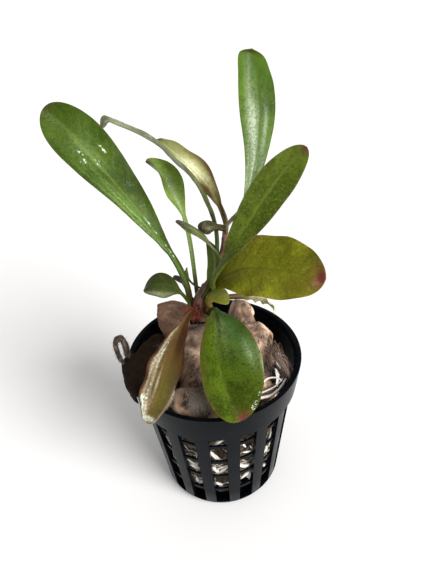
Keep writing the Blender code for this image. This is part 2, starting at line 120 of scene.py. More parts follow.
def parabola(values, t):
    """The parabola through three values at t = 0, a half and 1."""
    first, middle, last = values
    return (first * (1 - t) * (1 - 2 * t) + middle * 4 * t * (1 - t)
            + last * t * (2 * t - 1))


def smooth_path(points, t):
    """A Catmull-Rom curve: between two points, the cubic that leaves and arrives along the
    chords of their neighbours."""
    p = np.asarray(points, float)
    p = np.vstack([2 * p[0] - p[1], p, 2 * p[-1] - p[-2]])
    spans = len(p) - 3
    spot = np.clip(np.asarray(t, float) * spans, 0, spans - 1e-9)
    i = spot.astype(int)
    u = (spot - i)[:, None]
    a, b, c, d = p[i], p[i + 1], p[i + 2], p[i + 3]
    return 0.5 * (2 * b + (c - a) * u + (2 * a - 5 * b + 4 * c - d) * u ** 2
                  + (3 * b - a - 3 * c + d) * u ** 3)


def soft_noise(points, cell, seed):
    """Random values on a cubic lattice, blended between the eight corners of each cell with
    an eased share, so that the result drifts smoothly between -1 and 1."""
    p = np.asarray(points, float) / cell
    low = np.floor(p).astype(np.int64)
    share = p - low
    share = share * share * (3 - 2 * share)
    table = np.random.default_rng(seed).uniform(-1, 1, (32, 32, 32))
    total = 0.0
    for dx, dy, dz in np.ndindex(2, 2, 2):
        step = np.array([dx, dy, dz])
        weight = np.prod(np.where(step == 1, share, 1 - share), axis=-1)
        i, j, k = np.moveaxis((low + step) % 32, -1, 0)
        total = total + weight * table[i, j, k]
    return total


def layered_noise(points, cell, seed, layers=3):
    """Soft noise added to itself, each layer half as coarse and half as strong."""
    return sum(soft_noise(points, cell / 2 ** n, seed + n) / 2 ** n for n in range(layers))


print("noise at the origin:", round(float(soft_noise(np.zeros(3), 4.0, 1)), 3))

# %% [markdown]
# ## From arrays to a mesh
#
# A ring of points that is carried along a path becomes a tube, and four neighbouring points
# of the grid are one face. The corners run in the order that makes the face look outwards:
# first round the ring, then along the path. Blender takes the whole mesh from flat arrays in
# one call each, which is far quicker than adding faces one by one.

# %% Mesh tools
def tube_faces(rings, sides):
    """Quads between neighbouring rings, each ring closed on itself."""
    i, j = np.meshgrid(np.arange(rings - 1), np.arange(sides), indexing="ij")
    k = (j + 1) % sides
    quads = np.stack([i * sides + j, i * sides + k, (i + 1) * sides + k, (i + 1) * sides + j], -1)
    return quads.reshape(-1, 4)


def pole_faces(rings, sides, foot, tip):
    """Triangles that close the first ring on the point foot and the last on the point tip."""
    j = np.arange(sides)
    k = (j + 1) % sides
    last = (rings - 1) * sides
    return np.vstack([np.stack([k, j, np.full_like(j, foot)], 1),
                      np.stack([last + j, last + k, np.full_like(j, tip)], 1)])


def new_mesh(name, points, faces, layers=None, uv=None):
    """One smooth mesh from millimetre points and lists of faces of equal size, with a number
    at each point for each named layer."""
    mesh = bpy.data.meshes.new(name)
    corners = np.concatenate([f.ravel() for f in faces])
    sizes = np.concatenate([np.full(len(f), f.shape[1]) for f in faces])
    mesh.vertices.add(len(points))
    mesh.vertices.foreach_set("co", (np.asarray(points) * MM).ravel())
    mesh.loops.add(len(corners))
    mesh.loops.foreach_set("vertex_index", corners.astype(np.int32))
    mesh.polygons.add(len(sizes))
    mesh.polygons.foreach_set("loop_start", np.concatenate([[0], np.cumsum(sizes)[:-1]]))
    mesh.update(calc_edges=True)
    mesh.shade_smooth()
    for layer, values in (layers or {}).items():
        numbers = mesh.attributes.new(layer, "FLOAT", "POINT")
        numbers.data.foreach_set("value", np.asarray(values, np.float32).ravel())
    if uv is not None:
        made = mesh.uv_layers.new(name="surface")
        made.data.foreach_set("uv", uv[corners].astype(np.float32).ravel())
    return mesh


def add_piece(name, mesh, finish, slot, *nodes):
    """Puts a mesh into the scene, on the frame, in place of the CAD nodes it stands for."""
    piece = bpy.data.objects.new(name, mesh)
    bpy.context.scene.collection.objects.link(piece)
    mesh.materials.append(finish)
    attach(piece, "root")
    if nodes:
        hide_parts(*nodes)
    print(name, len(mesh.polygons), "faces")
    return piece


def sweep(path, radii, sides, flat=1.0, across=(0.31, 0.17, 0.93)):
    """Rings of points round a path: centre + radius x (cos a x side + sin a x up), where side
    and up stand square to the path. The share flat squeezes them in the up direction."""
    along = unit(np.gradient(path, axis=-2))
    side = unit(np.cross(along, np.broadcast_to(across, along.shape)))
    up = flat * np.cross(along, side)
    angle = np.linspace(0, 2 * np.pi, sides, endpoint=False)[:, None]
    ring = np.cos(angle) * side[..., None, :] + np.sin(angle) * up[..., None, :]
    return path[..., None, :] + radii[..., None, None] * ring


def closed_tube(name, rings, layers=None, uv=None):
    """A tube with a point at each end, just outside the first and last rings."""
    count, sides = rings.shape[:2]
    ends = np.stack([rings[0].mean(0), rings[-1].mean(0)])
    points = np.vstack([rings.reshape(-1, 3), ends])
    foot, tip = count * sides, count * sides + 1
    faces = [tube_faces(count, sides), pole_faces(count, sides, foot, tip)]
    grown = {n: np.concatenate([v.ravel(), [v[0].mean(), v[-1].mean()]])
             for n, v in (layers or {}).items()}
    if uv is not None:
        uv = np.vstack([uv.reshape(-1, 2), uv[0].mean(0), uv[-1].mean(0)])
    return new_mesh(name, points, faces, grown, uv)


def strand_mesh(name, paths, radii, sides=3, layers=None):
    """Many thin tubes at once: paths is strands x points x 3, radii is strands x points, and
    each strand ends in a flat cap."""
    strands, count = paths.shape[:2]
    rings = sweep(paths, radii, sides)
    one = tube_faces(count, sides)
    start = (np.arange(strands) * count * sides)[:, None, None]
    quads = (one[None] + start).reshape(-1, 4)
    foot = np.arange(sides)[::-1][None, :] + start[:, :, 0]
    tip = (count - 1) * sides + np.arange(sides)[None, :] + start[:, :, 0]
    spread = {n: np.repeat(v, count * sides) for n, v in (layers or {}).items()}
    return new_mesh(name, rings.reshape(-1, 3), [quads, np.vstack([foot, tip])], spread)


print("a closed tube of 4 rings of 6 has", len(tube_faces(4, 6)), "quads")

# %% [markdown]
# ## Wiring a material
#
# A material is a chain of nodes. To keep the recipes short enough to read, one helper adds a
# node and plugs numbers or other nodes into its sockets, and a few more stand for the steps
# that come up again and again: noise, a colour mix, a remapped number and a bump.

# %% Material tools
class Recipe:
    """A material under construction: each method adds one node and returns its output."""

    def __init__(self, name):
        self.material = bpy.data.materials.new(name)
        self.material.use_nodes = True
        self.tree = self.material.node_tree
        self.shader = self.tree.nodes["Principled BSDF"]
        self.place = self.node("ShaderNodeTexCoord").outputs["Object"]

    def node(self, kind, inputs=(), **settings):
        """One node of a kind, with its settings set and its inputs plugged."""
        made = self.tree.nodes.new(kind)
        for key, value in settings.items():
            setattr(made, key, value)
        for socket, value in dict(inputs).items():
            self.plug(made.inputs[socket], value)
        return made

    def plug(self, socket, value):
        """Links another node's output, and sets a number or a colour on the socket itself."""
        if isinstance(value, bpy.types.NodeSocket):
            self.tree.links.new(value, socket)
        elif socket.type == "RGBA" and len(value) == 3:
            socket.default_value = (*value, 1.0)
        else:
            socket.default_value = value

    def noise(self, size, detail=2.0, roughness=0.5, stretch=(1, 1, 1)):
        """Noise whose lumps are about size millimetres, drawn out along each axis."""
        scaled = self.node("ShaderNodeMapping", {"Vector": self.place,
                                                 "Scale": [1 / s for s in stretch]})
        made = self.node("ShaderNodeTexNoise", {"Vector": scaled.outputs[0],
                                                "Scale": 1 / (size * MM), "Detail": detail,
                                                "Roughness": roughness})
        return made.outputs["Fac"]

    def layer(self, name):
        """The number that the mesh keeps at each point under this name."""
        return self.node("ShaderNodeAttribute", attribute_name=name).outputs["Fac"]

    def remap(self, value, low, high, first=0.0, last=1.0):
        """Runs from first to last, eased, as the value runs from low to high."""
        made = self.node("ShaderNodeMapRange", {"Value": value, "From Min": low,
                                                "From Max": high, "To Min": first,
                                                "To Max": last},
                         interpolation_type="SMOOTHSTEP")
        return made.outputs[0]

    def maths(self, operation, a, b=0.0):
        """One operation on two numbers, with the answer held between 0 and 1."""
        made = self.node("ShaderNodeMath", {0: a, 1: b}, operation=operation, use_clamp=True)
        return made.outputs[0]

    def mix(self, share, a, b):
        """Colour a where the share is 0 and colour b where it is 1."""
        made = self.node("ShaderNodeMix", {0: share, 6: a, 7: b}, data_type="RGBA")
        return made.outputs[2]

    def bump(self, height, depth, strength=1.0, below=None):
        """Tilts the surface as if the height stood depth millimetres proud."""
        inputs = {"Height": height, "Distance": depth * MM, "Strength": strength}
        if below is not None:
            inputs["Normal"] = below
        return self.node("ShaderNodeBump", inputs).outputs[0]

    def finish(self, **sockets):
        """Sets the shader's sockets, named with _ for a space."""
        for name, value in sockets.items():
            self.plug(self.shader.inputs[name.replace("_", " ")], value)
        return self.material


print("shader sockets:", len(Recipe("sample").shader.inputs))
bpy.data.materials.remove(bpy.data.materials["sample"])

# %% [markdown]
# ## Table and light
#
# The table is a plain white surface that runs out of the picture. The daylight comes from the
# right and the front, about 27 degrees above the table, so that the shade of the pot and the
# leaves spreads far to the left and the back with no hard edge. A sun lamp with a wide disc
# gives that shade at any distance, and a pale world fills the shaded side.

# %% Table, sun and sky
TABLE_SIZE = 5000.0
TABLE_WHITES = (0.91, 0.915, 0.925), (0.93, 0.935, 0.945)
SUN_FROM = (0.73, -0.66, 0.50)
SUN_COLOUR = (1.0, 0.985, 0.965)
SUN_STRENGTH = 4.75
SUN_WIDTH = 38.0
SKY_COLOUR = (1.0, 0.985, 0.96)
SKY_STRENGTH = 0.52

half = TABLE_SIZE / 2
table_points = np.array([(-half, -half, 0), (half, -half, 0), (half, half, 0), (-half, half, 0)])
table = bpy.data.objects.new("table", new_mesh("table", table_points, [np.array([[0, 1, 2, 3]])]))
bpy.context.scene.collection.objects.link(table)
table_look = Recipe("white_table")
faint = table_look.noise(60.0, 2.0)
table.data.materials.append(table_look.finish(
    Base_Color=table_look.mix(faint, *TABLE_WHITES), Roughness=0.9, Specular_IOR_Level=0.1))

sun_data = bpy.data.lights.new("sun", "SUN")
sun_data.energy = SUN_STRENGTH
sun_data.angle = math.radians(SUN_WIDTH)
sun_data.color = SUN_COLOUR
sun = bpy.data.objects.new("sun", sun_data)
bpy.context.scene.collection.objects.link(sun)
towards = unit(np.array(SUN_FROM))
sideways = unit(np.cross((0, 0, 1.0), towards))
aim = np.eye(4)
aim[:3, :3] = np.stack([sideways, np.cross(towards, sideways), towards], 1)
sun.matrix_world = aim.T

world = bpy.data.worlds.new("sky")
world.use_nodes = True
sky = world.node_tree.nodes["Background"]
sky.inputs["Color"].default_value = (*SKY_COLOUR, 1.0)
sky.inputs["Strength"].default_value = SKY_STRENGTH
bpy.context.scene.world = world
bpy.context.scene.view_settings.view_transform = "Standard"
print("sun comes from", np.round(towards, 2))

# %% [markdown]
# ## The net pot
#
# The pot is one moulding: a tapered basket of sixteen flat ribs and four thin rings under a
# plain collar. Its wall is laid out as cells in angle, height and depth, each of them plastic
# or air. A face belongs wherever a plastic cell meets an air cell, and numpy finds all of them
# by comparing the array of cells with itself, shifted by one. A bevel then rounds every edge as
# the mould does.

# %% Pot sizes
POT_HEIGHT, COLLAR_FOOT, BODY_FOOT = 48.5, 39.3, 2.2
RIM_RADIUS, COLLAR_FOOT_RADIUS = 25.0, 23.8
BODY_TOP_RADIUS, BODY_FOOT_RADIUS, BASE_RADIUS = 22.7, 18.6, 17.5
WALL, COLLAR_WALL, RING_WALL, RIM_LEDGE, RIM_LEDGE_DEPTH = 1.3, 1.04, 0.6, 0.5, 1.5
RIB_COUNT, WINDOW_ANGLE, FRONT_WINDOW = 16, 12.7, -92.75
NOTCH_TOP, RING_HEIGHT, ROW_PITCH, ROWS = 8.3, 1.2, 8.0, 4
BASE_THICKNESS, BASE_DISC_RADIUS, BASE_HOOP_RADIUS = 1.5, 6.0, 14.5
WINDOW_CUTS, RIB_CUTS = 5, 4
MOULD_ROUNDING, SHARP_ANGLE = 0.16, 35.0
# Which depth cells are plastic, from the middle outwards, first on a rib and then in a window
POT_CELLS = {"base": ("111110", "101110"), "foot": ("000110", "000110"),
             "notch": ("000110", "000000"), "ring": ("000110", "000100"),
             "row": ("000110", "000000"), "collar": ("000111", "000111"),
             "rim": ("000011", "000011")}


def outer_radius(z):
    """The basket's outside: one slope below the body's foot and another above it."""
    return np.interp(z, [0, BODY_FOOT, COLLAR_FOOT],
                     [BASE_RADIUS, BODY_FOOT_RADIUS, BODY_TOP_RADIUS])


def inner_radius(z):
    """The inside: a wall's thickness in from the outside, and on to the rim in the collar."""
    share = np.clip((z - COLLAR_FOOT) / (POT_HEIGHT - COLLAR_FOOT), 0, 1)
    top = RIM_RADIUS - WALL - RIM_LEDGE
    below = outer_radius(z) - WALL
    return np.where(z <= COLLAR_FOOT, below, below + (top - below) * share)


heights, kinds = [0.0, BASE_THICKNESS, BODY_FOOT], ["base", "foot", "notch"]
for row in range(ROWS):
    heights += [NOTCH_TOP + row * ROW_PITCH, NOTCH_TOP + row * ROW_PITCH + RING_HEIGHT]
    kinds += ["ring", "row"]
heights = np.array(heights + [COLLAR_FOOT, POT_HEIGHT - RIM_LEDGE_DEPTH, POT_HEIGHT])
kinds += ["collar", "rim"]
print("pot levels:", list(zip(heights.tolist(), kinds)))

# %% Pot cells
half_window = WINDOW_ANGLE / 2
pitch = 360 / RIB_COUNT
window_cuts = np.linspace(-half_window, half_window, WINDOW_CUTS + 1)[:-1]
rib_cuts = np.linspace(half_window, pitch - half_window, RIB_CUTS + 1)[:-1]
one_pitch = np.concatenate([window_cuts, rib_cuts])
is_window = np.tile(np.arange(len(one_pitch)) < len(window_cuts), RIB_COUNT)
pot_angles = (FRONT_WINDOW + np.arange(RIB_COUNT)[:, None] * pitch + one_pitch).ravel()

cells = np.array([[[c == "1" for c in POT_CELLS[kind][int(w)]] for kind in kinds]
                  for w in is_window])
inside = inner_radius(heights)
above_collar = heights > COLLAR_FOOT
shelf = np.where(above_collar, inside + COLLAR_WALL, outer_radius(heights))
lip = COLLAR_FOOT_RADIUS + (RIM_RADIUS - COLLAR_FOOT_RADIUS) * np.clip(
    (heights - COLLAR_FOOT) / (POT_HEIGHT - COLLAR_FOOT), 0, 1)
flat_line = np.ones_like(heights)
depth_radii = np.stack([0 * flat_line, BASE_DISC_RADIUS * flat_line,
                        BASE_HOOP_RADIUS * flat_line, inside, inside + RING_WALL, shelf, lip], 1)
columns, depths = len(pot_angles), depth_radii.shape[1]
print("pot cells:", cells.shape, "plastic:", int(cells.sum()))

# %% Pot faces
def corner(column, level, depth):
    """The number of the grid corner at a column, a level and a depth."""
    return ((column % columns) * len(heights) + level) * depths + depth


def boundary(axis, step):
    """Column, level and depth of each plastic cell whose neighbour along an axis is air."""
    padded = np.pad(cells, ((0, 0), (1, 1), (1, 1)))
    padded = np.concatenate([padded[-1:], padded, padded[:1]])
    beside = np.roll(padded, -step, axis=axis)[1:-1, 1:-1, 1:-1]
    found = np.stack(np.nonzero(cells & ~beside))
    keep = (found[2] > 0) | (axis == 2) & (step == 1)
    return found[:, keep]


def pot_faces():
    """Four corners for each boundary, in the order that faces the air: round the square that
    the other two axes span, or back round it on the cell's lower side."""
    faces = []
    for axis in range(3):
        first, second = np.eye(3, dtype=int)[[(axis + 1) % 3, (axis + 2) % 3]]
        for step in (1, -1):
            cell = boundary(axis, step)
            base = (np.arange(3) == axis) * (step == 1)
            moves = [0 * first, first, first + second, second][::step]
            faces.append(np.stack([corner(*(cell + (base + m)[:, None])) for m in moves], 1))
    return np.vstack(faces)


quads = pot_faces()
disc_top = corner(np.arange(columns), 1, 1)[None]
disc_foot = corner(np.arange(columns), 0, 1)[::-1][None]
a = np.radians(pot_angles)[:, None, None]
grid = np.stack(np.broadcast_arrays(depth_radii * np.cos(a), depth_radii * np.sin(a),
                                    heights[:, None] + 0 * a), -1).reshape(-1, 3)
used, compact = np.unique(np.concatenate([f.ravel() for f in (quads, disc_top, disc_foot)]),
                          return_inverse=True)
compact = compact.ravel()
pot_mesh = new_mesh("net_pot_detail", grid[used], [
    compact[:quads.size].reshape(-1, 4),
    compact[quads.size:].reshape(2, -1)])
pot_mesh.set_sharp_from_angle(angle=math.radians(SHARP_ANGLE))
print("pot faces:", len(pot_mesh.polygons))

# %% [markdown]
# The plastic is dyed black through and has a satin skin from the mould. It takes its look from
# what it mirrors: a cool grey sheen on faces that look up at the light, with slight wear and
# damp patches that are smoother than the rest.

# %% Black plastic
plastic = Recipe("black_moulded_plastic")
flow = plastic.noise(9.0, 4.0, 0.6)
grain = plastic.noise(0.35, 2.0, 0.6)
scuffs = plastic.noise(1.2, 5.0, 0.7, stretch=(1, 1, 6))
dusty = plastic.remap(scuffs, 0.60, 0.78)
plastic_colour = plastic.mix(plastic.remap(flow, 0.35, 0.7), (0.0012, 0.0018, 0.0030),
                             (0.0030, 0.0040, 0.0060))
plastic_bump = plastic.bump(flow, 0.10, 0.6)
plastic_finish = plastic.finish(
    Base_Color=plastic.mix(plastic.maths("MULTIPLY", dusty, 0.15), plastic_colour,
                           (0.030, 0.032, 0.036)),
    Roughness=plastic.remap(flow, 0.3, 0.75, 0.24, 0.36), Specular_IOR_Level=0.045,
    Specular_Tint=(0.82, 0.91, 1.0),
    Normal=plastic.bump(grain, 0.02, 0.5, plastic_bump))
pot = add_piece("net_pot_detail", pot_mesh, plastic_finish, "pot", "net_pot")
rounding = pot.modifiers.new("mould_rounding", "BEVEL")
rounding.width = MOULD_ROUNDING * MM
rounding.segments = 2
rounding.limit_method = "ANGLE"
rounding.angle_limit = math.radians(SHARP_ANGLE)
rounding.harden_normals = True

# %% [markdown]
# ## The stone wool
#
# Stone wool is spun rock fibre, pressed into a cube that is torn to let the plant in. Damp, it
# is pinkish brown, with soft round lumps on top and dark clefts between them. Its plug is one
# closed surface: rings up the side and over the top to a point in the middle. A heap is a bell
# on the flat top, and nine of them give the large shape.

# %% Wool shape
WOOL_FOOT, WOOL_FOOT_RADIUS, WOOL_FOOT_ROUNDING = 1.9, 11.0, 7.0
WOOL_SIDE_GAP, WOOL_SHOULDER, WOOL_SHOULDER_TOP = 2.3, 31.0, 37.0
WOOL_EDGE_HEIGHT, WOOL_EDGE_DROP, WOOL_TOP_OF_SIDE = 45.5, 1.6, 43.0
# The middle, the spread and the height of each heap, and the power that rounds its top
WOOL_HEAPS = [
    ((-2.5, 5.0), (8.0, 7.0), 9.0, 2), ((-11.5, 10.5), (3.8, 4.6), 6.0, 2),
    ((9.0, 11.0), (4.4, 4.4), 11.2, 4), ((12.5, 3.0), (6.5, 6.5), 9.0, 3),
    ((-6.0, 0.5), (3.5, 3.2), 2.5, 2), ((-6.2, -6.5), (3.6, 2.8), 5.5, 2),
    ((-7.5, -15.5), (6.0, 4.0), 4.5, 2), ((3.0, -8.0), (6.0, 7.0), 4.5, 2),
    ((-19.0, 3.0), (6.0, 4.5), 5.0, 2)]
# Where the plug has come away from the wall: the middle, the spread and the gap
WOOL_FREE_SIDES = [(25.0, 48.0, 3.9), (132.0, 20.0, 3.8), (88.0, 24.0, 2.5)]


def wool_height(x, y):
    """A flat edge height plus, for each heap, its rise times e to the minus distance in
    spreads, raised to the heap's power."""
    height = WOOL_EDGE_HEIGHT + 0 * x
    for (cx, cy), (sx, sy), rise, power in WOOL_HEAPS:
        away = np.hypot((x - cx) / sx, (y - cy) / sy)
        height = height + rise * np.exp(-away ** power)
    return height


def wool_side_radius(angle, z):
    """The pot's inside less a gap and slow waves, and less again where the plug is torn free."""
    extra = 0 * angle
    for middle, spread, gap in WOOL_FREE_SIDES:
        off = (np.degrees(angle) - middle + 180) % 360 - 180
        extra = extra + gap * bell(off, 0, spread)
    free = ease(WOOL_SHOULDER, WOOL_SHOULDER_TOP, z)
    lumps = 0.5 * np.sin(3 * angle + 0.30 * z) + 0.4 * np.sin(5 * angle - 0.45 * z)
    full = inner_radius(z) - WOOL_SIDE_GAP + lumps - extra * free
    foot = ease(WOOL_FOOT - 1.0, WOOL_FOOT + WOOL_FOOT_ROUNDING, z)
    return WOOL_FOOT_RADIUS + (full - WOOL_FOOT_RADIUS) * foot


print("wool height in the middle:", round(float(wool_height(0.0, 0.0)), 1), "mm")

# %% [markdown]
# The lumps on the heaps are soft noise of two sizes. Noise alone puts its clefts anywhere, so
# the deep ones are hollows, each at its own place, and the patches of painted light and painted
# shade are placed in the same way. How high a spot stands on its lump is kept as a layer of the
# mesh, so that the finish can paint shade into the clefts and light onto the tops, and a second
# layer says where the wool is wet and where shade is painted on it.

# %% Wool lumps
# Hollows between the lumps: the middle, the spreads and the depth of each. They lower the lump
# layer too, and the finish paints shade into them
WOOL_HOLLOWS = [
    (-6.4, 0.5, 3.0, 0.8, 0.7), (-6.0, -11.2, 4.2, 1.6, 1.3), (-2.8, -15.5, 2.6, 3.2, 1.3),
    (-13.0, -9.0, 2.2, 4.5, 0.8), (10.8, 7.4, 3.0, 1.1, 1.1), (6.0, 5.0, 1.8, 4.0, 1.0),
    (14.6, -0.6, 2.6, 0.8, 0.6), (18.2, -6.6, 2.6, 2.6, 0.9), (8.5, -13.0, 3.0, 3.0, 1.0),
    (-14.5, 6.5, 2.0, 4.0, 0.9), (-4.0, 7.5, 2.0, 2.0, 0.6), (2.5, 12.5, 2.5, 3.0, 0.9),
    (-10.6, -1.5, 1.4, 3.6, 0.6), (-9.4, -11.8, 1.6, 1.2, 0.4)]

# Patches of painted light and painted shade, paler or darker than the lumps alone make them:
# the middle, the spreads and how much each adds
WOOL_PAINTED_LIGHT_AND_SHADE = [
    (-9.3, -12.8, 3.0, 2.2, 1.0), (-7.0, -17.6, 3.4, 1.5, -1.0), (-5.8, 4.0, 1.5, 2.2, 0.4),
    (-5.8, -4.0, 2.0, 1.7, 1.3), (-6.2, -8.6, 2.6, 1.8, -0.8), (15.4, 4.0, 2.2, 1.8, 0.4),
    (13.6, -0.4, 2.0, 1.5, 0.3), (17.2, 0.7, 0.9, 2.2, -1.0), (14.6, -6.2, 2.2, 1.8, -0.3),
    (18.1, -3.1, 1.5, 1.4, 0.8), (8.3, 11.4, 2.4, 1.8, 1.1), (11.5, 9.0, 2.4, 1.8, 0.8),
    (-4.5, 7.5, 2.0, 2.2, -0.9)]


def wool_painted_light_and_shade(points):
    """The sum of the patches of painted light and painted shade, shaken about so that none has a
    round outline.
    """
    shake = np.stack([layered_noise(points, 2.5, s, 2) for s in (14, 15, 16)], -1)
    x, y, z = np.moveaxis(points + 1.1 * shake, -1, 0)
    return ease(41, 45, z) * sum(
        amount * np.exp(-((x - cx) / sx) ** 2 - ((y - cy) / sy) ** 2)
        for cx, cy, sx, sy, amount in WOOL_PAINTED_LIGHT_AND_SHADE)


def wool_lumps(points):
    """How high a spot stands, near 1 on a lump and 0 or less in a hollow: soft noise of two
    sizes, less the hollows, which are shaken about so that none has a round outline."""
    shake = np.stack([layered_noise(points, 4.0, s, 2) for s in (11, 12, 13)], -1)
    x, y, z = np.moveaxis(points + 1.3 * shake, -1, 0)
    lump = 0.55 + 0.5 * soft_noise(points + shake, 5.6, 21) + 0.28 * soft_noise(
        points + 0.6 * shake, 2.6, 22)
    top = ease(41, 45, z)
    for cx, cy, sx, sy, depth in WOOL_HOLLOWS:
        lump = lump - top * depth * np.exp(-((x - cx) / sx) ** 2 - ((y - cy) / sy) ** 2)
    return lump


def wool_wet_and_shaded(points):
    """Places painted dark for wet wool and as painted shade: the sheet at the left, and the side
    below the shoulder inside the pot.
    """
    x, y, z = np.moveaxis(points, -1, 0)
    sheet = bell(x, -18.5, 6.5) * bell(y, 0.0, 8.5) * ease(42, 46, z)
    side = ease(35.5, 30.5, z + 1.5 * soft_noise(points, 6.0, 23))
    return np.clip(1.15 * sheet + 0.85 * side, 0, 1)


print("hollows:", len(WOOL_HOLLOWS))

# %% Wool plug
PLUG_COLUMNS, PLUG_SIDE_ROWS, PLUG_TOP_ROWS = 300, 84, 96
plug_angle = np.linspace(0, 2 * np.pi, PLUG_COLUMNS, endpoint=False)[None, :]
side_z = np.linspace(WOOL_FOOT, WOOL_TOP_OF_SIDE, PLUG_SIDE_ROWS)[:, None] + 0 * plug_angle
side_radius = wool_side_radius(plug_angle + 0 * side_z, side_z)
edge_radius = wool_side_radius(plug_angle, np.full_like(plug_angle, WOOL_EDGE_HEIGHT))
share = np.linspace(1, 0, PLUG_TOP_ROWS + 1)[:-1, None]
top_x, top_y = edge_radius * share * np.cos(plug_angle), edge_radius * share * np.sin(plug_angle)
top_z = wool_height(top_x, top_y) - WOOL_EDGE_DROP * ease(0.82, 1.0, share)
plug = np.concatenate([
    np.stack([side_radius * np.cos(plug_angle), side_radius * np.sin(plug_angle), side_z], -1),
    np.stack([top_x, top_y, top_z], -1)])
outward = unit(np.cross(np.roll(plug, -1, 1) - np.roll(plug, 1, 1), np.gradient(plug, axis=0)))
plug_lumps, plug_wet_and_shaded = wool_lumps(plug), wool_wet_and_shaded(plug)
settle = ease(0, 6, np.arange(len(plug)))[:, None]
LUMP_HEIGHT, FELT_HEIGHT = 1.5, 0.22


def wool_relief(lumps, soaked, points):
    """The lumps stand proud by their height, less where the wet and shade layer is high, as soaked
    wool lies flat, and a felted noise lies over them."""
    proud = np.tanh(1.2 * (lumps - 0.45))
    felt = FELT_HEIGHT * layered_noise(points, 1.5, 31)
    return (LUMP_HEIGHT * proud + felt) * (1 - 0.65 * soaked)


plug = plug + (settle * wool_relief(plug_lumps, plug_wet_and_shaded, plug))[..., None] * outward
plug[..., 2] = np.maximum(plug[..., 2], WOOL_FOOT)
# The lump layer also takes the patches of painted light and painted shade
plug_mesh = closed_tube("wool_plug", plug, {"lump": plug_lumps + wool_painted_light_and_shade(plug),
                                            "soaked": plug_wet_and_shaded})
print("wool plug:", len(plug_mesh.polygons), "faces")

# %% [markdown]
# A torn lobe of the wool stands up behind the leaves on the left. It is a flat tube along a
# short path, wrinkled by the same noise, with its foot sunk in the plug.

# %% Wool lobe
LOBE_POINTS = [(-9.6, 6.8, 47.0), (-10.8, 8.2, 52.0), (-11.3, 10.2, 56.0), (-11.0, 12.0, 59.4)]
LOBE_RADII = [3.6, 4.5, 4.7, 4.4]
LOBE_FLATNESS = 0.55
t = np.linspace(0, 1, 70)
lobe_path = smooth_path(LOBE_POINTS, t)
lobe_radius = np.interp(t, np.linspace(0, 1, len(LOBE_RADII)), LOBE_RADII) * np.sqrt(
    1 - 0.97 * ease(0.84, 1, t) ** 2)
lobe = sweep(lobe_path, lobe_radius, 96, LOBE_FLATNESS, (0, 1, 0))
lobe_out = unit(lobe - lobe_path[:, None, :])
wrinkles = np.abs(soft_noise(lobe * np.array([0.6, 1.0, 1.5]), 2.4, 41))
creases = 1 - ease(0, 0.22, wrinkles)
swell = soft_noise(lobe, 4.5, 42)
proud = 0.45 * swell - 0.12 * creases + 0.10 * layered_noise(lobe, 1.2, 43)
lobe = lobe + proud[..., None] * lobe_out
# The lump layer falls in the creases, so the finish paints shade into them
lobe_mesh = closed_tube("wool_lobe", lobe, {"lump": 0.45 + 0.35 * swell - 0.25 * creases,
                                            "soaked": 0 * swell})
print("wool lobe:", len(lobe_mesh.polygons), "faces")

# %% [markdown]
# A soaked sheet of the wool drapes over the rim on the left. It is laid out in the pot's own
# terms, as a row of stations from the plug outwards. Two grids, half the thickness above and
# half below, are joined along the edges. Noise frets the two sides and the hem, which is torn.

# %% Wool sheet
# Each station has a radius, a height, and the directions of its back and front edges
SHEET_STATIONS = [
    (13.0, 45.6, 146, 222), (16.0, 47.6, 146, 221), (18.8, 49.0, 149, 220), (20.6, 49.5, 160, 219),
    (22.6, 49.7, 174, 218), (24.9, 49.6, 179, 217), (26.0, 48.7, 180, 216), (26.1, 46.6, 183, 213),
    (25.9, 44.4, 189, 207)]
SHEET_THICKNESS = 0.8
t, across = np.linspace(0, 1, 130)[:, None], np.linspace(0, 1, 150)[None, :]
drape = smooth_path(SHEET_STATIONS, t[:, 0])
slope = unit(np.gradient(drape[:, :2], axis=0))
laid_flat = np.stack([9 * t + 0 * across, 9 * across + 0 * t, 0 * t * across], 2)
ragged = layered_noise(laid_flat, 1.1, 45)
angle = np.radians(drape[:, 2:3] + (drape[:, 3:4] - drape[:, 2:3]) * across
                   + 3.0 * ragged * (2 * across - 1) ** 3 * ease(0.2, 0.5, t))
hem = 1.6 * ragged * ease(0.85, 1, t)
thick = SHEET_THICKNESS / 2 * np.sqrt(1 - np.abs(2 * across - 1) ** 8) * np.sqrt(
    1 - 0.96 * ease(0.9, 1, t) ** 2)
folds = layered_noise(np.stack([drape[:, :1] * np.cos(angle), drape[:, :1] * np.sin(angle),
                                drape[:, 1:2] + 0 * angle], 2), 3.5, 46)
sheet_sides = []
for way in (1, -1):
    r = drape[:, :1] + (0.12 * (1 + way) * folds - way * thick) * slope[:, 1:2]
    z = drape[:, 1:2] + (0.12 * (1 + way) * folds + way * thick) * slope[:, :1] + hem
    sheet_sides.append(np.stack([r * np.cos(angle), r * np.sin(angle), z], 2))
rings = np.concatenate([sheet_sides[0], sheet_sides[1][:, ::-1]], axis=1)
# Painted shade on the sheet: the lump layer falls in the hollows of the folds and where the sheet
# hangs down over the rim, and the wet and shade layer rises where it hangs down
tone = np.concatenate([folds, folds[:, ::-1]], axis=1)
hanging_shade = ease(0.45, 0.85, t) + 0 * rings[..., 0]
sheet_mesh = closed_tube("wool_sheet", rings, {"lump": 0.45 + 0.25 * tone - 0.25 * hanging_shade,
                                               "soaked": 0.80 + 0.15 * tone + 0.25 * hanging_shade})
print("wool sheet:", len(sheet_mesh.polygons), "faces")
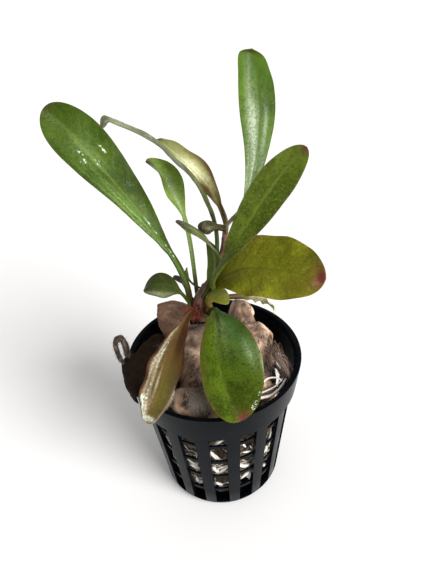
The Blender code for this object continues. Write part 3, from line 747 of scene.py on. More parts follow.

# %% [markdown]
# The wool's colour runs through three browns by the height on the lump: pale on the tops of the
# lumps as painted light, a middle one on their sides, and nearly black in the clefts as painted
# shade. Matted felt lies over it in two directions, paler on the high places as a painted
# highlight. The plug, the lobe and the sheet take the same recipe with their own browns, because
# the lobe is smoother and the sheet is soaked through and lies in shade, which its darker browns
# paint.

# %% Wool finish
def wool_recipe(name, gloss, light, middle, dark, wet):
    """Three browns by the height on the lump, blurred by noise, which paint light on the tops and
    shade in the clefts; then paler felt in two directions on the high places as a painted
    highlight, and a dark brown where the wool is wet and where shade is painted on it. The gloss
    is how much it mirrors."""
    wool = Recipe(name)
    lump, soaked = wool.layer("lump"), wool.layer("soaked")
    patches = wool.noise(2.4, 4.0, 0.6)
    felt = wool.noise(0.55, 4.0, 0.7, stretch=(2.6, 1, 1))
    felt_across = wool.noise(0.55, 4.0, 0.7, stretch=(1, 2.6, 1))
    height = wool.maths("ADD", wool.maths("MULTIPLY", lump, 0.75),
                        wool.remap(patches, 0.30, 0.70, 0.0, 0.30))
    # Painted shade in the clefts and painted light on the tops, by the height on the lump
    colour = wool.mix(wool.remap(height, 0.06, 0.38), dark, middle)
    colour = wool.mix(wool.remap(height, 0.42, 0.85), colour, light)
    # Paler felt on the high places: a painted highlight
    felt_and_highlight = wool.maths("MULTIPLY", wool.remap(felt, 0.48, 0.70),
                       wool.remap(height, 0.3, 0.8, 0.15, 0.7))
    colour = wool.mix(felt_and_highlight, colour, light)
    colour = wool.mix(wool.remap(felt_across, 0.28, 0.50, 0.40, 0.0), colour, dark)
    # Dark brown for wet wool and as painted shade
    colour = wool.mix(wool.maths("MULTIPLY", soaked, 0.97), colour, wet)
    return wool.finish(
        Base_Color=colour, Roughness=wool.remap(patches, 0.35, 0.6, 0.6, 0.9),
        Specular_IOR_Level=gloss,
        Normal=wool.bump(felt, 0.30, 0.8, wool.bump(felt_across, 0.30, 0.8)))


# The brown of wet wool, also used as painted shade on the sheet and on the plug's side
WET_AND_SHADED_BROWN = (0.012, 0.007, 0.005)
# The name, mesh, finish and gloss of each piece, with its light, middle and dark brown. The
# sheet's browns are darker for its wetness and as painted shade.
WOOL_PIECES = [
    ("wool_plug", plug_mesh, "damp_stone_wool", 0.15,
     (0.74, 0.53, 0.39), (0.40, 0.245, 0.165), (0.040, 0.023, 0.016)),
    ("wool_lobe", lobe_mesh, "smooth_stone_wool", 0.15,
     (0.40, 0.255, 0.175), (0.22, 0.125, 0.08), (0.030, 0.017, 0.012)),
    ("wool_sheet", sheet_mesh, "soaked_stone_wool", 0.04,
     (0.22, 0.14, 0.10), (0.09, 0.055, 0.038), (0.020, 0.012, 0.008))]
for name, mesh, finish, gloss, *browns in WOOL_PIECES:
    add_piece(name, mesh, wool_recipe(finish, gloss, *browns, WET_AND_SHADED_BROWN), "wool",
              "stone_wool")

# %% [markdown]
# ## Loose fibres
#
# Loose fibres make the wool look like wool. Each one is a very thin tube that wanders over the
# heaps: it starts somewhere, keeps turning a little, and rises in a low arch so that it lifts
# off the surface in the middle. Thousands are worked out together, as one array of strands by
# points. A tube of three sides is round enough for something a twentieth of a millimetre thick.

# %% Fibres on the top
def wandering(rng, count, steps, length, turn):
    """Headings that change by a steady turn, and the flat steps that they make."""
    heading = rng.uniform(0, 2 * np.pi, (count, 1)) + rng.normal(0, turn, (count, 1)) * (
        np.linspace(0, 1, steps)[None, :] ** rng.uniform(0.7, 2.0, (count, 1)))
    stride = length[:, None] / steps
    return np.cumsum(np.cos(heading) * stride, 1), np.cumsum(np.sin(heading) * stride, 1)


rng = np.random.default_rng(7)
FIBRES, FIBRE_STEPS, FIBRE_TURN = 2600, 9, 1.6
# A patch of grey fuzz at the front: its middle, its spread and its number of fibres
FUZZ_PLACE, FUZZ_SPREAD, FUZZ = (-5.6, -17.4), (2.4, 1.6), 330
# The soaked sheet lies flat over the left, so no fibre starts beyond this x and this near its y
SHEET_X, SHEET_Y, SHEET_HALF_WIDTH = -11.5, -2.0, 12.0
count = FIBRES + FUZZ
fibre_length = np.concatenate([rng.uniform(1.0, 4.5, FIBRES), rng.uniform(1.5, 3.5, FUZZ)])
dx, dy = wandering(rng, count, FIBRE_STEPS, fibre_length, FIBRE_TURN)
spin = rng.uniform(0, 2 * np.pi, count)
reach = 0.93 * np.sqrt(rng.uniform(0, 1, count)) * wool_side_radius(
    spin, np.full(count, WOOL_EDGE_HEIGHT))
start_x, start_y = reach * np.cos(spin), reach * np.sin(spin)
for start, middle, spread in zip((start_x, start_y), FUZZ_PLACE, FUZZ_SPREAD):
    start[FIBRES:] = middle + spread * rng.normal(0, 0.6, FUZZ)
fx = start_x[:, None] + dx - dx.mean(1, keepdims=True)
fy = start_y[:, None] + dy - dy.mean(1, keepdims=True)
limit = wool_side_radius(np.arctan2(fy, fx), np.full(fx.shape, WOOL_EDGE_HEIGHT)) - 0.2
pull = np.minimum(1, limit / np.hypot(fx, fy))
fx, fy = fx * pull, fy * pull
arch = rng.uniform(0.0, 0.5, (count, 1)) * np.sin(np.linspace(0, np.pi, FIBRE_STEPS))
fz = wool_height(fx, fy) - WOOL_EDGE_DROP * ease(0.82, 1.0, np.hypot(fx, fy) / limit)
spot = np.stack([fx, fy, fz], -1)
fz = fz + wool_relief(wool_lumps(spot), wool_wet_and_shaded(spot), spot) + 0.04 + arch
fibre_shade = np.concatenate([rng.uniform(0, 0.8, FIBRES), rng.uniform(0.6, 1.0, FUZZ)])
fibre_radius = rng.uniform(0.018, 0.045, (count, 1)) * np.ones((1, FIBRE_STEPS))
grown = ~((start_x < SHEET_X) & (np.abs(start_y - SHEET_Y) < SHEET_HALF_WIDTH))
fibre_mesh = strand_mesh("wool_fibres", np.stack([fx, fy, fz], -1)[grown], fibre_radius[grown], 3,
                         {"shade": fibre_shade[grown]})
print("fibres:", int(grown.sum()))

# %% Hanging strands
# Longer strands hang from the lump on the right down to the plug's edge
HANGING, HANG_STEPS, HANG_FROM, HANG_TO = 150, 16, (16.4, -3.4, 51.0), (19.6, -9.8, 47.3)
s = np.linspace(0, 1, HANG_STEPS)[None, :, None]
hang_start = np.array(HANG_FROM) + rng.normal(0, 1, (HANGING, 1, 3)) * (1.0, 2.0, 0.5)
hang_end = np.array(HANG_TO) + rng.normal(0, 1, (HANGING, 1, 3)) * (0.8, 1.8, 0.5)
waves = rng.normal(0, 0.6, (HANGING, 1, 3)) * np.sin(np.pi * s) + rng.normal(
    0, 0.15, (HANGING, 1, 3)) * np.sin(3 * np.pi * s)
rise = np.array([0, 0, 0.5]) * np.sin(np.pi * s)
hanging = hang_start + (hang_end - hang_start) * s + waves + rise
hang_radius = rng.uniform(0.04, 0.09, (HANGING, 1)) * (1.1 - s[0, :, 0])
hang_mesh = strand_mesh("wool_hanging_strands", hanging, hang_radius, 3,
                        {"shade": rng.uniform(0, 0.7, HANGING) ** 1.5})

strand_look = Recipe("wool_strands")
strand_tone = strand_look.layer("shade")
strand_finish = strand_look.finish(
    Base_Color=strand_look.mix(strand_look.remap(strand_tone, 0.2, 0.95), (0.16, 0.10, 0.07),
                               (0.60, 0.52, 0.46)), Roughness=0.6)
add_piece("wool_fibres", fibre_mesh, strand_finish, "wool")
add_piece("wool_hanging_strands", hang_mesh, strand_finish, "wool")

# %% [markdown]
# ## Roots behind the windows
#
# Lower down, white roots run between the wool and the pot and show through the windows. They
# are strands of the same kind, only thicker, and they climb and fall round the plug's side in
# the narrow gap.

# %% Roots round the side
ROOTS, ROOT_STEPS = 420, 14
ROOT_LOWEST, ROOT_HIGHEST = 3.2, 41.0
root_z = rng.uniform(4.0, 37.0, (ROOTS, 1)) + np.cumsum(
    rng.normal(0, 0.5, (ROOTS, ROOT_STEPS)) + rng.normal(0, 0.55, (ROOTS, 1)), 1)
root_z = np.clip(root_z, ROOT_LOWEST, ROOT_HIGHEST)
root_angle = rng.uniform(0, 2 * np.pi, (ROOTS, 1)) + np.cumsum(
    rng.normal(0, 0.012, (ROOTS, ROOT_STEPS)) + rng.normal(0, 0.045, (ROOTS, 1)), 1)
side_spot = wool_side_radius(root_angle, root_z)
side_points = np.stack([side_spot * np.cos(root_angle), side_spot * np.sin(root_angle),
                        root_z], -1)
lift = (wool_relief(wool_lumps(side_points), wool_wet_and_shaded(side_points), side_points)
        + rng.uniform(0.0, 0.45, (ROOTS, 1)))
root_radius = np.minimum(side_spot + lift, inner_radius(root_z) - 0.45)
white = rng.uniform(0, 1, ROOTS) ** 1.5 * np.clip(1.25 - root_z.mean(1) / 42, 0.2, 1)
root_thickness = (0.07 + 0.16 * white)[:, None] * (1 - 0.7 * np.linspace(0, 1, ROOT_STEPS) ** 2)
side_mesh = strand_mesh("side_roots", np.stack([
    root_radius * np.cos(root_angle), root_radius * np.sin(root_angle), root_z], -1),
    root_thickness, 4, {"shade": white})
print("roots round the side:", ROOTS)

# %% [markdown]
# A few roots are a millimetre thick, and each front window shows its own. Those are placed one
# by one: a row says where a root starts and ends, and between the two it bows a little. Behind
# the other windows the same kinds of root are scattered.

# %% Thick roots in the windows
# Where each starts and ends, as an angle round the pot and a height, and its radius
THICK_ROOTS = [
    (-98.0, 31.4, -85.5, 35.9, 0.55), (-100.5, 28.6, -92.0, 23.2, 0.60),
    (-96.0, 27.4, -90.0, 24.6, 0.35), (-100.8, 20.0, -94.5, 16.0, 0.75),
    (-95.5, 16.2, -84.8, 20.2, 0.55), (-97.0, 19.0, -86.0, 21.0, 0.30),
    (-99.0, 11.0, -92.0, 9.6, 0.45), (-77.5, 32.4, -69.5, 28.0, 0.38),
    (-76.5, 19.8, -64.0, 17.4, 0.55), (-74.0, 10.8, -61.0, 12.6, 0.50),
    (-72.5, 26.0, -60.0, 24.0, 0.30), (-66.0, 28.0, -57.0, 21.0, 0.30),
    (-54.0, 27.0, -43.0, 19.0, 0.32), (-43.5, 21.0, -40.5, 12.0, 0.30),
    (-50.0, 17.0, -42.0, 20.0, 0.38), (-44.0, 9.0, -38.0, 8.6, 0.55),
    (-125.0, 22.4, -112.5, 21.0, 0.28), (-124.0, 18.4, -114.0, 16.6, 0.70),
    (-121.0, 10.4, -113.0, 9.4, 0.60), (-119.0, 12.4, -116.0, 8.4, 0.35),
    (-147.0, 27.0, -137.0, 21.0, 0.30), (-146.0, 15.0, -135.0, 12.0, 0.50)]
SCATTERED = 46
more = np.column_stack([rng.uniform(-35, 205, SCATTERED), rng.uniform(8, 35, SCATTERED)])
more = np.column_stack([more, more[:, 0] + rng.uniform(-12, 12, SCATTERED),
                        more[:, 1] + rng.uniform(-5, 5, SCATTERED),
                        rng.uniform(0.25, 0.6, SCATTERED)])
ends = np.vstack([THICK_ROOTS, more])
t = np.linspace(0, 1, 14)
bow = np.sin(np.pi * t) * rng.uniform(-1.2, 1.2, (len(ends), 1))
thick_angle = np.radians(ends[:, :1] + (ends[:, 2:3] - ends[:, :1]) * t)
thick_z = ends[:, 1:2] + (ends[:, 3:4] - ends[:, 1:2]) * t + bow
shape = np.sqrt(np.clip(4 * t * (1 - t), 0.02, 1)) ** 0.7
thick_radius = ends[:, 4:5] * shape
thick_reach = inner_radius(thick_z) - 0.35 - ends[:, 4:5]
thick_points = np.stack([thick_reach * np.cos(thick_angle), thick_reach * np.sin(thick_angle),
                         thick_z], -1)
thick_mesh = strand_mesh("thick_side_roots", thick_points, thick_radius, 10,
                         {"shade": rng.uniform(0.45, 1.0, len(ends))})

root_look = Recipe("side_root_skin")
root_tone = root_look.layer("shade")
root_finish = root_look.finish(
    Base_Color=root_look.mix(root_look.remap(root_tone, 0.1, 0.6), (0.30, 0.22, 0.15),
                             (0.80, 0.77, 0.70)),
    Roughness=0.35, Subsurface_Weight=0.2, Subsurface_Radius=(0.6, 0.5, 0.4),
    Subsurface_Scale=0.0006)
add_piece("side_roots", side_mesh, root_finish, "root")
add_piece("thick_side_roots", thick_mesh, root_finish, "root")

# %% [markdown]
# ## The leaves
#
# A leaf of this plant is a spoon: a narrow stalk that swells into a blade, folded gently along
# its midrib. Its midrib is a curve whose compass heading, climb and twist each follow a
# parabola, the blade's half width is half a cosine wave that closes on a rounded tip, and the
# leaf's section is a thin lens. The grid runs along the leaf and once round that lens. On top
# of this smooth form come the side veins, waves along the margin and slow dents. The veins, the
# midrib and the marks are also kept as layers for the material: marks of age, and marks of
# painted shade, painted sheen and painted highlights.

# %% Leaf records
@dataclass
class Leaf:
    """One leaf in millimetres and degrees. heading, rise and roll are at the foot, the middle
    and the tip of the midrib; neck and widest are shares of the length; blunt is the power
    that rounds the tip; fold lifts the left and the right half from the midrib; crown is where
    the stalk starts inside the crown. waves are the height, the number and the start of the
    waves along the margin; midline is how far across the midrib has slid, as shares of the
    half width; hook is how many degrees the last of the tip bends down; cut under 1 squares
    the tip off; groove is how deep the midrib lies. A mark is a soft patch: its place along
    and across, its two spreads, as shares of the length and the half width, and its strength."""
    name: str
    base: tuple
    length: float
    heading: tuple
    rise: tuple
    roll: tuple
    width: float
    stalk: float
    neck: float
    widest: float
    blunt: float
    fold: tuple
    crown: tuple
    look: str
    slot: str
    seed: int
    waves: tuple
    midline: tuple = (0.0, 0.0, 0.0)
    hook: float = 0.0
    cut: float = 1.0
    groove: float = 0.10
    marks: dict = field(default_factory=dict)


LEAVES = [
    # The large left leaf's pale marks are painted sheen on the lower left of the blade, its glints
    # painted highlights, and its dark mark low on the right half painted shade
    Leaf("leaf_left_large", base=(-5.6, 6.2, 63.5), length=63.5, heading=(204, 154, 162),
         rise=(90, 52, 52), roll=(-90, -20, -60), width=13.5, stalk=1.7, neck=0.10, widest=0.80,
         blunt=2.2, fold=(20, 20), crown=(-3.4, 5.6, 59.6), look="fresh", slot="leaf_green",
         seed=3, waves=(0.30, 3.0, 0.2),
         marks={
             "brown": [(1.0, 0.0, 0.020, 1.2, 0.8), (0.0, 0.0, 0.12, 1.5, 0.9)],
             "dark": [(0.95, -0.2, 0.20, 1.2, 0.8), (0.45, -0.8, 0.40, 0.35, 0.7),
                      (0.6, 1.0, 0.5, 0.16, 0.7)],
             "pale": [(0.42, 0.52, 0.26, 0.42, 0.7), (0.76, 0.0, 0.10, 0.40, 0.4)],
             "glint": [(0.72, -0.02, 0.020, 0.10, 0.9), (0.79, 0.24, 0.020, 0.09, 0.9),
                       (0.755, 0.42, 0.012, 0.16, 0.9), (0.75, -0.50, 0.028, 0.06, 0.9),
                       (0.40, 0.02, 0.06, 0.10, 0.9), (0.27, 0.0, 0.05, 0.20, 0.9)]}),
    Leaf("leaf_left_arched", base=(2.0, 6.4, 74.0), length=60.0, heading=(136, 208, 232),
         rise=(108, 58, 28), roll=(-15, -20, -30), width=5.5, stalk=1.2, neck=0.15, widest=0.50,
         blunt=1.8, fold=(-5, -5), crown=(1.6, 5.8, 71.5), look="grey", slot="leaf_grey_green",
         seed=4, waves=(0.2, 3.0, 0.5), hook=80.0,
         marks={
             "brown": [(1.0, 0.0, 0.05, 1.2, 0.6)],
             "dark": [(0.7, 0.9, 0.4, 0.25, 0.9), (0.2, 0.0, 0.35, 1.5, 0.7)],
             "pale": [(0.92, 0.0, 0.12, 1.2, 0.5)]}),
    # The old yellow leaf's pale mark is a painted sheen in the middle of the blade
    Leaf("leaf_old_yellow", base=(5.8, 7.0, 87.0), length=28.5, heading=(124, 154, 116),
         rise=(70, 44, 14), roll=(-75, -20, 0), width=7.5, stalk=1.4, neck=0.00, widest=0.60,
         blunt=1.2, fold=(25, 25), crown=(5.4, 5.2, 84.6), look="yellow", slot="leaf_yellow",
         seed=5, waves=(0.3, 3.0, 0.1),
         marks={
             "brown": [(1.0, 0.0, 0.06, 1.0, 0.8), (0.25, -0.9, 0.55, 0.30, 0.9),
                       (0.12, -0.3, 0.18, 1.0, 1.0), (0.32, 0.85, 0.13, 0.70, 1.5)],
             "cool": [(0.86, 0.0, 0.16, 1.0, 0.9)],
             "pale": [(0.56, 0.2, 0.15, 0.5, 1.2)]}),
    # The middle left leaf's pale marks are mostly painted sheen, and its glints painted highlights
    Leaf("leaf_left_middle", base=(-3.5, 8.9, 63.5), length=42.0, heading=(136, 134, 186),
         rise=(88, 80, 40), roll=(-5, -50, 15), width=8.5, stalk=1.2, neck=0.50, widest=0.90,
         blunt=1.6, fold=(25, 25), crown=(-2.6, 6.4, 60.5), look="middle", slot="leaf_green",
         seed=6, waves=(0.25, 3.0, 0.3),
         marks={
             "brown": [(1.0, 0.0, 0.05, 1.0, 0.9), (0.0, 0.0, 0.22, 1.5, 0.6)],
             "pale": [(0.72, 0.1, 0.16, 0.30, 1.2), (0.30, 0.0, 0.25, 0.5, 0.5)],
             "glint": [(0.80, 0.25, 0.012, 0.10, 1.0), (0.84, 0.0, 0.008, 0.10, 0.9)]}),
    Leaf("leaf_grey_small", base=(3.8, 2.1, 77.0), length=25.0, heading=(-82, -138, -154),
         rise=(54, 56, 34), roll=(-10, -25, -10), width=4.4, stalk=0.6, neck=0.10, widest=0.70,
         blunt=3.0, fold=(0, 0), crown=(3.6, 5.2, 76.4), look="grey", slot="leaf_grey_green",
         seed=7, waves=(0.2, 2.0, 0.5),
         marks={
             "brown": [(1.0, 0.0, 0.09, 1.2, 1.0)],
             "dark": [(0.8, -0.9, 0.5, 0.25, 0.8)]}),
    Leaf("leaf_curled", base=(5.2, 3.9, 87.0), length=7.0, heading=(186, 202, 208),
         rise=(20, 16, -28), roll=(-15, -65, -30), width=3.6, stalk=1.6, neck=0.05, widest=0.75,
         blunt=3.4, fold=(10, 10), crown=(5.5, 4.9, 85.6), look="curled", slot="leaf_grey_green",
         seed=8, waves=(0.1, 2.0, 0.5),
         marks={
             "brown": [(1.0, 0.0, 0.16, 1.2, 1.0), (0.0, 0.0, 0.30, 1.2, 0.6)],
             "pale": [(0.6, 0.2, 0.15, 0.3, 0.6)]}),
    # The tall leaf's pale marks are painted sheen beside the midrib, brightest on its left, and
    # its dark marks darken the midrib line and the top
    Leaf("leaf_tall", base=(1.0, 7.6, 67.5), length=64.0, heading=(20, 44, 66),
         rise=(60, 70, 122), roll=(0, 5, -10), width=10.0, stalk=1.6, neck=0.25, widest=0.78,
         blunt=2.2, fold=(10, 10), crown=(-0.6, 5.9, 65.6), look="bright", slot="leaf_green",
         seed=9, waves=(0.25, 3.0, 0.6), cut=0.82,
         marks={
             "pale": [(0.62, 0.32, 0.26, 0.30, 1.3), (0.42, 0.28, 0.24, 0.45, 1.5),
                      (0.68, -0.45, 0.12, 0.25, 0.8), (0.45, -0.75, 0.25, 0.25, 0.6)],
             "dark": [(0.62, -0.02, 0.4, 0.06, 0.9), (0.93, 0.0, 0.14, 1.2, 0.6)],
             "brown": [(1.0, 0.0, 0.014, 1.2, 0.8)]}),
    Leaf("leaf_right", base=(1.3, 1.8, 70.2), length=48.0, heading=(-104, 0, -8),
         rise=(58, 59, 42), roll=(40, 60, 75), width=8.8, stalk=1.4, neck=0.05, widest=0.77,
         blunt=1.8, fold=(10, 10), crown=(-0.4, 3.9, 63.8), look="mottled", slot="leaf_green",
         seed=10, waves=(0.25, 4.0, 0.2),
         marks={
             "brown": [(1.0, 0.0, 0.025, 0.8, 0.9), (0.1, 0.0, 0.2, 1.5, 0.1)],
             "pale": [(0.65, -1.0, 0.4, 0.05, 0.7), (0.5, 0.98, 0.4, 0.04, 0.5)],
             "dark": [(0.88, 0.1, 0.22, 1.0, 0.55)]}),
    # The round leaf's dark mark is painted shade beside the midrib, and its cool mark is the pink
    # tip with a painted highlight in it
    Leaf("leaf_round", base=(1.6, 5.0, 66.8), length=36.5, heading=(-32, -34, -34),
         rise=(74, 16, 8), roll=(45, 30, 50), width=18.0, stalk=3.0, neck=-0.08, widest=0.53,
         blunt=2.2, fold=(15, 15), crown=(-0.6, 4.8, 63.6), look="olive", slot="leaf_olive",
         seed=11, waves=(0.5, 4.0, 0.1),
         marks={
             "brown": [(1.0, 0.0, 0.09, 0.9, 1.0), (0.42, 1.0, 0.07, 0.12, 0.9)],
             "dark": [(0.80, -0.5, 0.10, 0.4, 0.9)],
             "cool": [(0.965, -0.34, 0.030, 0.16, 1.2)]}),
    # The front leaf's dark marks are painted shade on its fold, its shaded upper left and its
    # right side; its cool mark is a painted sheen, its pale marks and glints painted highlights on
    # the right edge, with a paler middle
    Leaf("leaf_front", base=(0.0, 2.6, 60.9), length=37.5, heading=(-66, -86, -72),
         rise=(66, -38, -40), roll=(-15, -10, -5), width=18.0, stalk=2.0, neck=0.05, widest=0.60,
         blunt=2.6, fold=(25, 30), crown=(-1.4, 4.6, 59.6), look="front", slot="leaf_green",
         seed=12, waves=(0.35, 3.0, 0.8), midline=(-0.5, -0.30, 0.05), groove=0.0,
         marks={
             "brown": [(1.0, 0.45, 0.05, 0.5, 1.0)],
             "dark": [(0.40, -0.95, 0.45, 0.35, 1.0), (0.85, 0.35, 0.15, 0.4, 0.7),
                      (0.20, -0.5, 0.12, 0.4, 0.8), (0.36, 0.90, 0.30, 0.22, 0.6)],
             "cool": [(0.32, 0.72, 0.28, 0.34, 0.9)],
             "glint": [(0.92, 0.84, 0.035, 0.12, 1.2), (0.84, 0.93, 0.020, 0.06, 0.9)],
             "pale": [(0.60, 1.0, 0.10, 0.05, 1.2), (0.34, 0.25, 0.16, 0.35, 0.22),
                      (0.55, 0.85, 0.08, 0.12, 0.6)]}),
    # The brown front leaf's pale marks are mostly painted highlights and sheen: white streaks on
    # the left, a white rim at the tip and along the right edge; its glints are painted highlights
    Leaf("leaf_front_brown", base=(-4.6, 3.2, 61.5), length=35.5, heading=(-106, -120, -124),
         rise=(36, -38, -32), roll=(-5, 5, 10), width=11.0, stalk=1.8, neck=0.05, widest=0.65,
         blunt=2.4, fold=(15, 15), crown=(-2.6, 4.6, 60.4), look="brown", slot="leaf_brown",
         seed=13, waves=(0.5, 4.0, 0.3), midline=(0.1, 0.1, 0.0),
         marks={
             "brown": [(0.26, 0.45, 0.34, 0.80, 1.0), (0.55, -0.95, 0.5, 0.16, 1.0),
                       (0.42, 0.95, 0.28, 0.20, 1.0)],
             "pale": [(0.52, -0.80, 0.34, 0.10, 1.1), (0.64, -0.58, 0.26, 0.07, 1.1),
                      (0.74, -0.32, 0.16, 0.03, 1.0), (0.90, -0.72, 0.12, 0.28, 1.1),
                      (0.965, 0.0, 0.02, 1.0, 1.5), (0.82, 1.0, 0.13, 0.16, 1.3)],
             "cool": [(0.72, 0.25, 0.28, 0.42, 1.0)],
             "glint": [(0.965, 0.0, 0.022, 0.9, 1.3), (0.88, -0.80, 0.08, 0.12, 1.3),
                       (0.80, -0.62, 0.10, 0.06, 1.0), (0.48, -0.62, 0.12, 0.06, 1.0),
                       (0.72, 0.93, 0.06, 0.06, 1.2)]}),
    Leaf("leaf_left_small", base=(-5.2, 4.2, 61.8), length=18.0, heading=(174, 188, 190),
         rise=(76, 42, -36), roll=(15, -25, 15), width=9.0, stalk=1.0, neck=0.25, widest=0.75,
         blunt=1.6, fold=(0, 0), crown=(-3.4, 5.0, 60.2), look="dull", slot="leaf_green", seed=14,
         waves=(0.2, 2.0, 0.5),
         marks={
             "pale": [(0.9, 0.8, 0.3, 0.3, 0.6)]}),
    Leaf("leaf_crown_yellow", base=(0.0, 2.6, 63.3), length=12.5, heading=(-26, -50, -30),
         rise=(122, 32, -48), roll=(0, 25, 5), width=5.0, stalk=1.6, neck=0.10, widest=0.60,
         blunt=2.0, fold=(5, 5), crown=(-0.6, 4.6, 62.2), look="olive", slot="leaf_olive",
         seed=15, waves=(0.15, 2.0, 0.5),
         marks={
             "pale": [(0.5, 0.0, 0.5, 1.2, 0.7)],
             "brown": [(0.15, 0.0, 0.22, 1.2, 0.8)]}),
    Leaf("leaf_back_ragged", base=(0.0, 6.8, 63.5), length=24.0, heading=(4, 20, -10),
         rise=(-12, -24, -62), roll=(-5, -70, 10), width=4.5, stalk=1.8, neck=0.35, widest=0.85,
         blunt=2.2, fold=(-5, -5), crown=(-1.6, 6.0, 63.6), look="yellow", slot="leaf_yellow",
         seed=16, waves=(0.6, 6.0, 0.4),
         marks={
             "brown": [(0.2, 0.0, 0.35, 2.0, 1.0)],
             "pale": [(0.9, 0.0, 0.3, 1.5, 1.2)]}),
    Leaf("leaf_upright", base=(-1.7, 3.9, 66.0), length=20.0, heading=(-20, 6, 14),
         rise=(60, 80, 122), roll=(80, 80, 35), width=4.0, stalk=1.2, neck=0.00, widest=0.50,
         blunt=2.2, fold=(10, 10), crown=(-1.6, 5.0, 64.0), look="dull", slot="leaf_green",
         seed=17, waves=(0.15, 2.0, 0.5),
         marks={
             "brown": [(1.0, 0.0, 0.08, 1.0, 0.9)]}),
    Leaf("leaf_crown_small", base=(-1.2, 2.3, 60.0), length=7.0, heading=(-72, -60, -54),
         rise=(14, 26, -2), roll=(10, 0, -30), width=7.5, stalk=1.6, neck=0.05, widest=0.60,
         blunt=2.2, fold=(-10, -10), crown=(-1.8, 4.2, 59.4), look="yellow", slot="leaf_yellow",
         seed=18, waves=(0.15, 2.0, 0.5)),
    Leaf("bud_left", base=(-5.0, 7.4, 63.0), length=9.0, heading=(140, 160, 192),
         rise=(46, 68, 2), roll=(0, -5, 0), width=3.0, stalk=1.0, neck=0.50, widest=0.80,
         blunt=2.2, fold=(5, 5), crown=(-3.2, 6.2, 61.4), look="bud", slot="bud", seed=19,
         waves=(0.1, 2.0, 0.5)),
    Leaf("bud_stub", base=(-1.0, 7.0, 66.5), length=9.5, heading=(176, 166, 174),
         rise=(4, 56, 106), roll=(0, -5, -15), width=2.8, stalk=0.6, neck=0.50, widest=0.80,
         blunt=2.6, fold=(0, 0), crown=(-0.8, 5.6, 66.0), look="stub", slot="bud", seed=20,
         waves=(0.1, 2.0, 0.5)),
    Leaf("shoot_tip", base=(5.5, 4.5, 87.0), length=9.0, heading=(-8, -4, -10), rise=(54, 44, 16),
         roll=(5, 10, 0), width=2.0, stalk=1.0, neck=0.10, widest=0.45, blunt=2.2, fold=(0, 0),
         crown=(5.5, 4.9, 85.8), look="pale_bud", slot="bud", seed=21, waves=(0.1, 2.0, 0.5)),
]
print("leaves and buds:", len(LEAVES))

# %% [markdown]
# Two helpers turn a row into a form. The first walks along the midrib in small steps, each in
# the direction that the heading and the climb give there, and adds them up. The second says how
# wide the blade is at each share of the length.

# %% Leaf frames
MIDRIB_STEPS = 400
HOOK_START, HOOK_END = 0.95, 0.98
CUT_POWER = 24


def compass_direction(heading, rise):
    """The direction of a heading and a climb: (cos rise cos heading, cos rise sin heading,
    sin rise)."""
    return np.stack([np.cos(rise) * np.cos(heading), np.cos(rise) * np.sin(heading),
                     np.sin(rise)], 1)


def midrib_frame(leaf, t):
    """Points and axes along the midrib. The running sum of its direction is the curve, and the
    roll turns the side and the face about it."""
    fine = np.linspace(0, 1, MIDRIB_STEPS + 1)
    heading = np.radians(parabola(leaf.heading, fine))
    rise = np.radians(parabola(leaf.rise, fine) - leaf.hook * ease(HOOK_START, HOOK_END, fine))
    along = compass_direction(heading, rise)
    steps = (along[1:] + along[:-1]) / 2 * leaf.length / MIDRIB_STEPS
    curve = np.vstack([np.zeros(3), np.cumsum(steps, axis=0)]) + np.array(leaf.base)
    points = np.stack([np.interp(t, fine, curve[:, k]) for k in range(3)], 1)
    heading, rise = np.interp(t, fine, heading), np.interp(t, fine, rise)
    along = compass_direction(heading, rise)
    level = np.stack([-np.sin(heading), np.cos(heading), 0 * heading], 1)
    roll = np.radians(parabola(leaf.roll, t))[:, None]
    side = np.cos(roll) * level + np.sin(roll) * np.cross(along, level)
    return points, side, np.cross(along, side)


def half_width(leaf, t):
    """Half a cosine wave from the neck to the widest place, then an ellipse of the power
    blunt that closes the tip, or its first part where the tip is cut; never less than the
    stalk before the widest place."""
    swell = np.clip((t - leaf.neck) / (leaf.widest - leaf.neck), 0, 1)
    close = np.clip((t - leaf.widest) / (1 - leaf.widest), 0, 1)
    blade = leaf.width / 2 * (0.5 - 0.5 * np.cos(np.pi * swell))
    kept = leaf.cut ** leaf.blunt
    closed = kept * close ** leaf.blunt + (1 - kept) * close ** CUT_POWER
    blade = blade * np.sqrt(np.clip(1 - closed, 0, 1))
    return np.where(t < leaf.widest, np.maximum(blade, leaf.stalk / 2), blade)


print("large leaf's widest half:", half_width(LEAVES[0], np.array([0.8]))[0], "mm")

# %% [markdown]
# The stalk doesn't start at the leaf's foot but inside the crown, so its first rows lie on a
# curve that leads from there into the midrib. The rows crowd together towards the tip, where
# the outline turns fastest.

# %% Leaf spine
ROWS_PER_MM, FEWEST_ROWS, MOST_ROWS = 2.6, 36, 170
STALK_ROWS, STALK_START, STALK_FLARE = 16, -0.08, 0.25
LAST_ROW, NARROWEST_HALF = 0.9995, 0.05


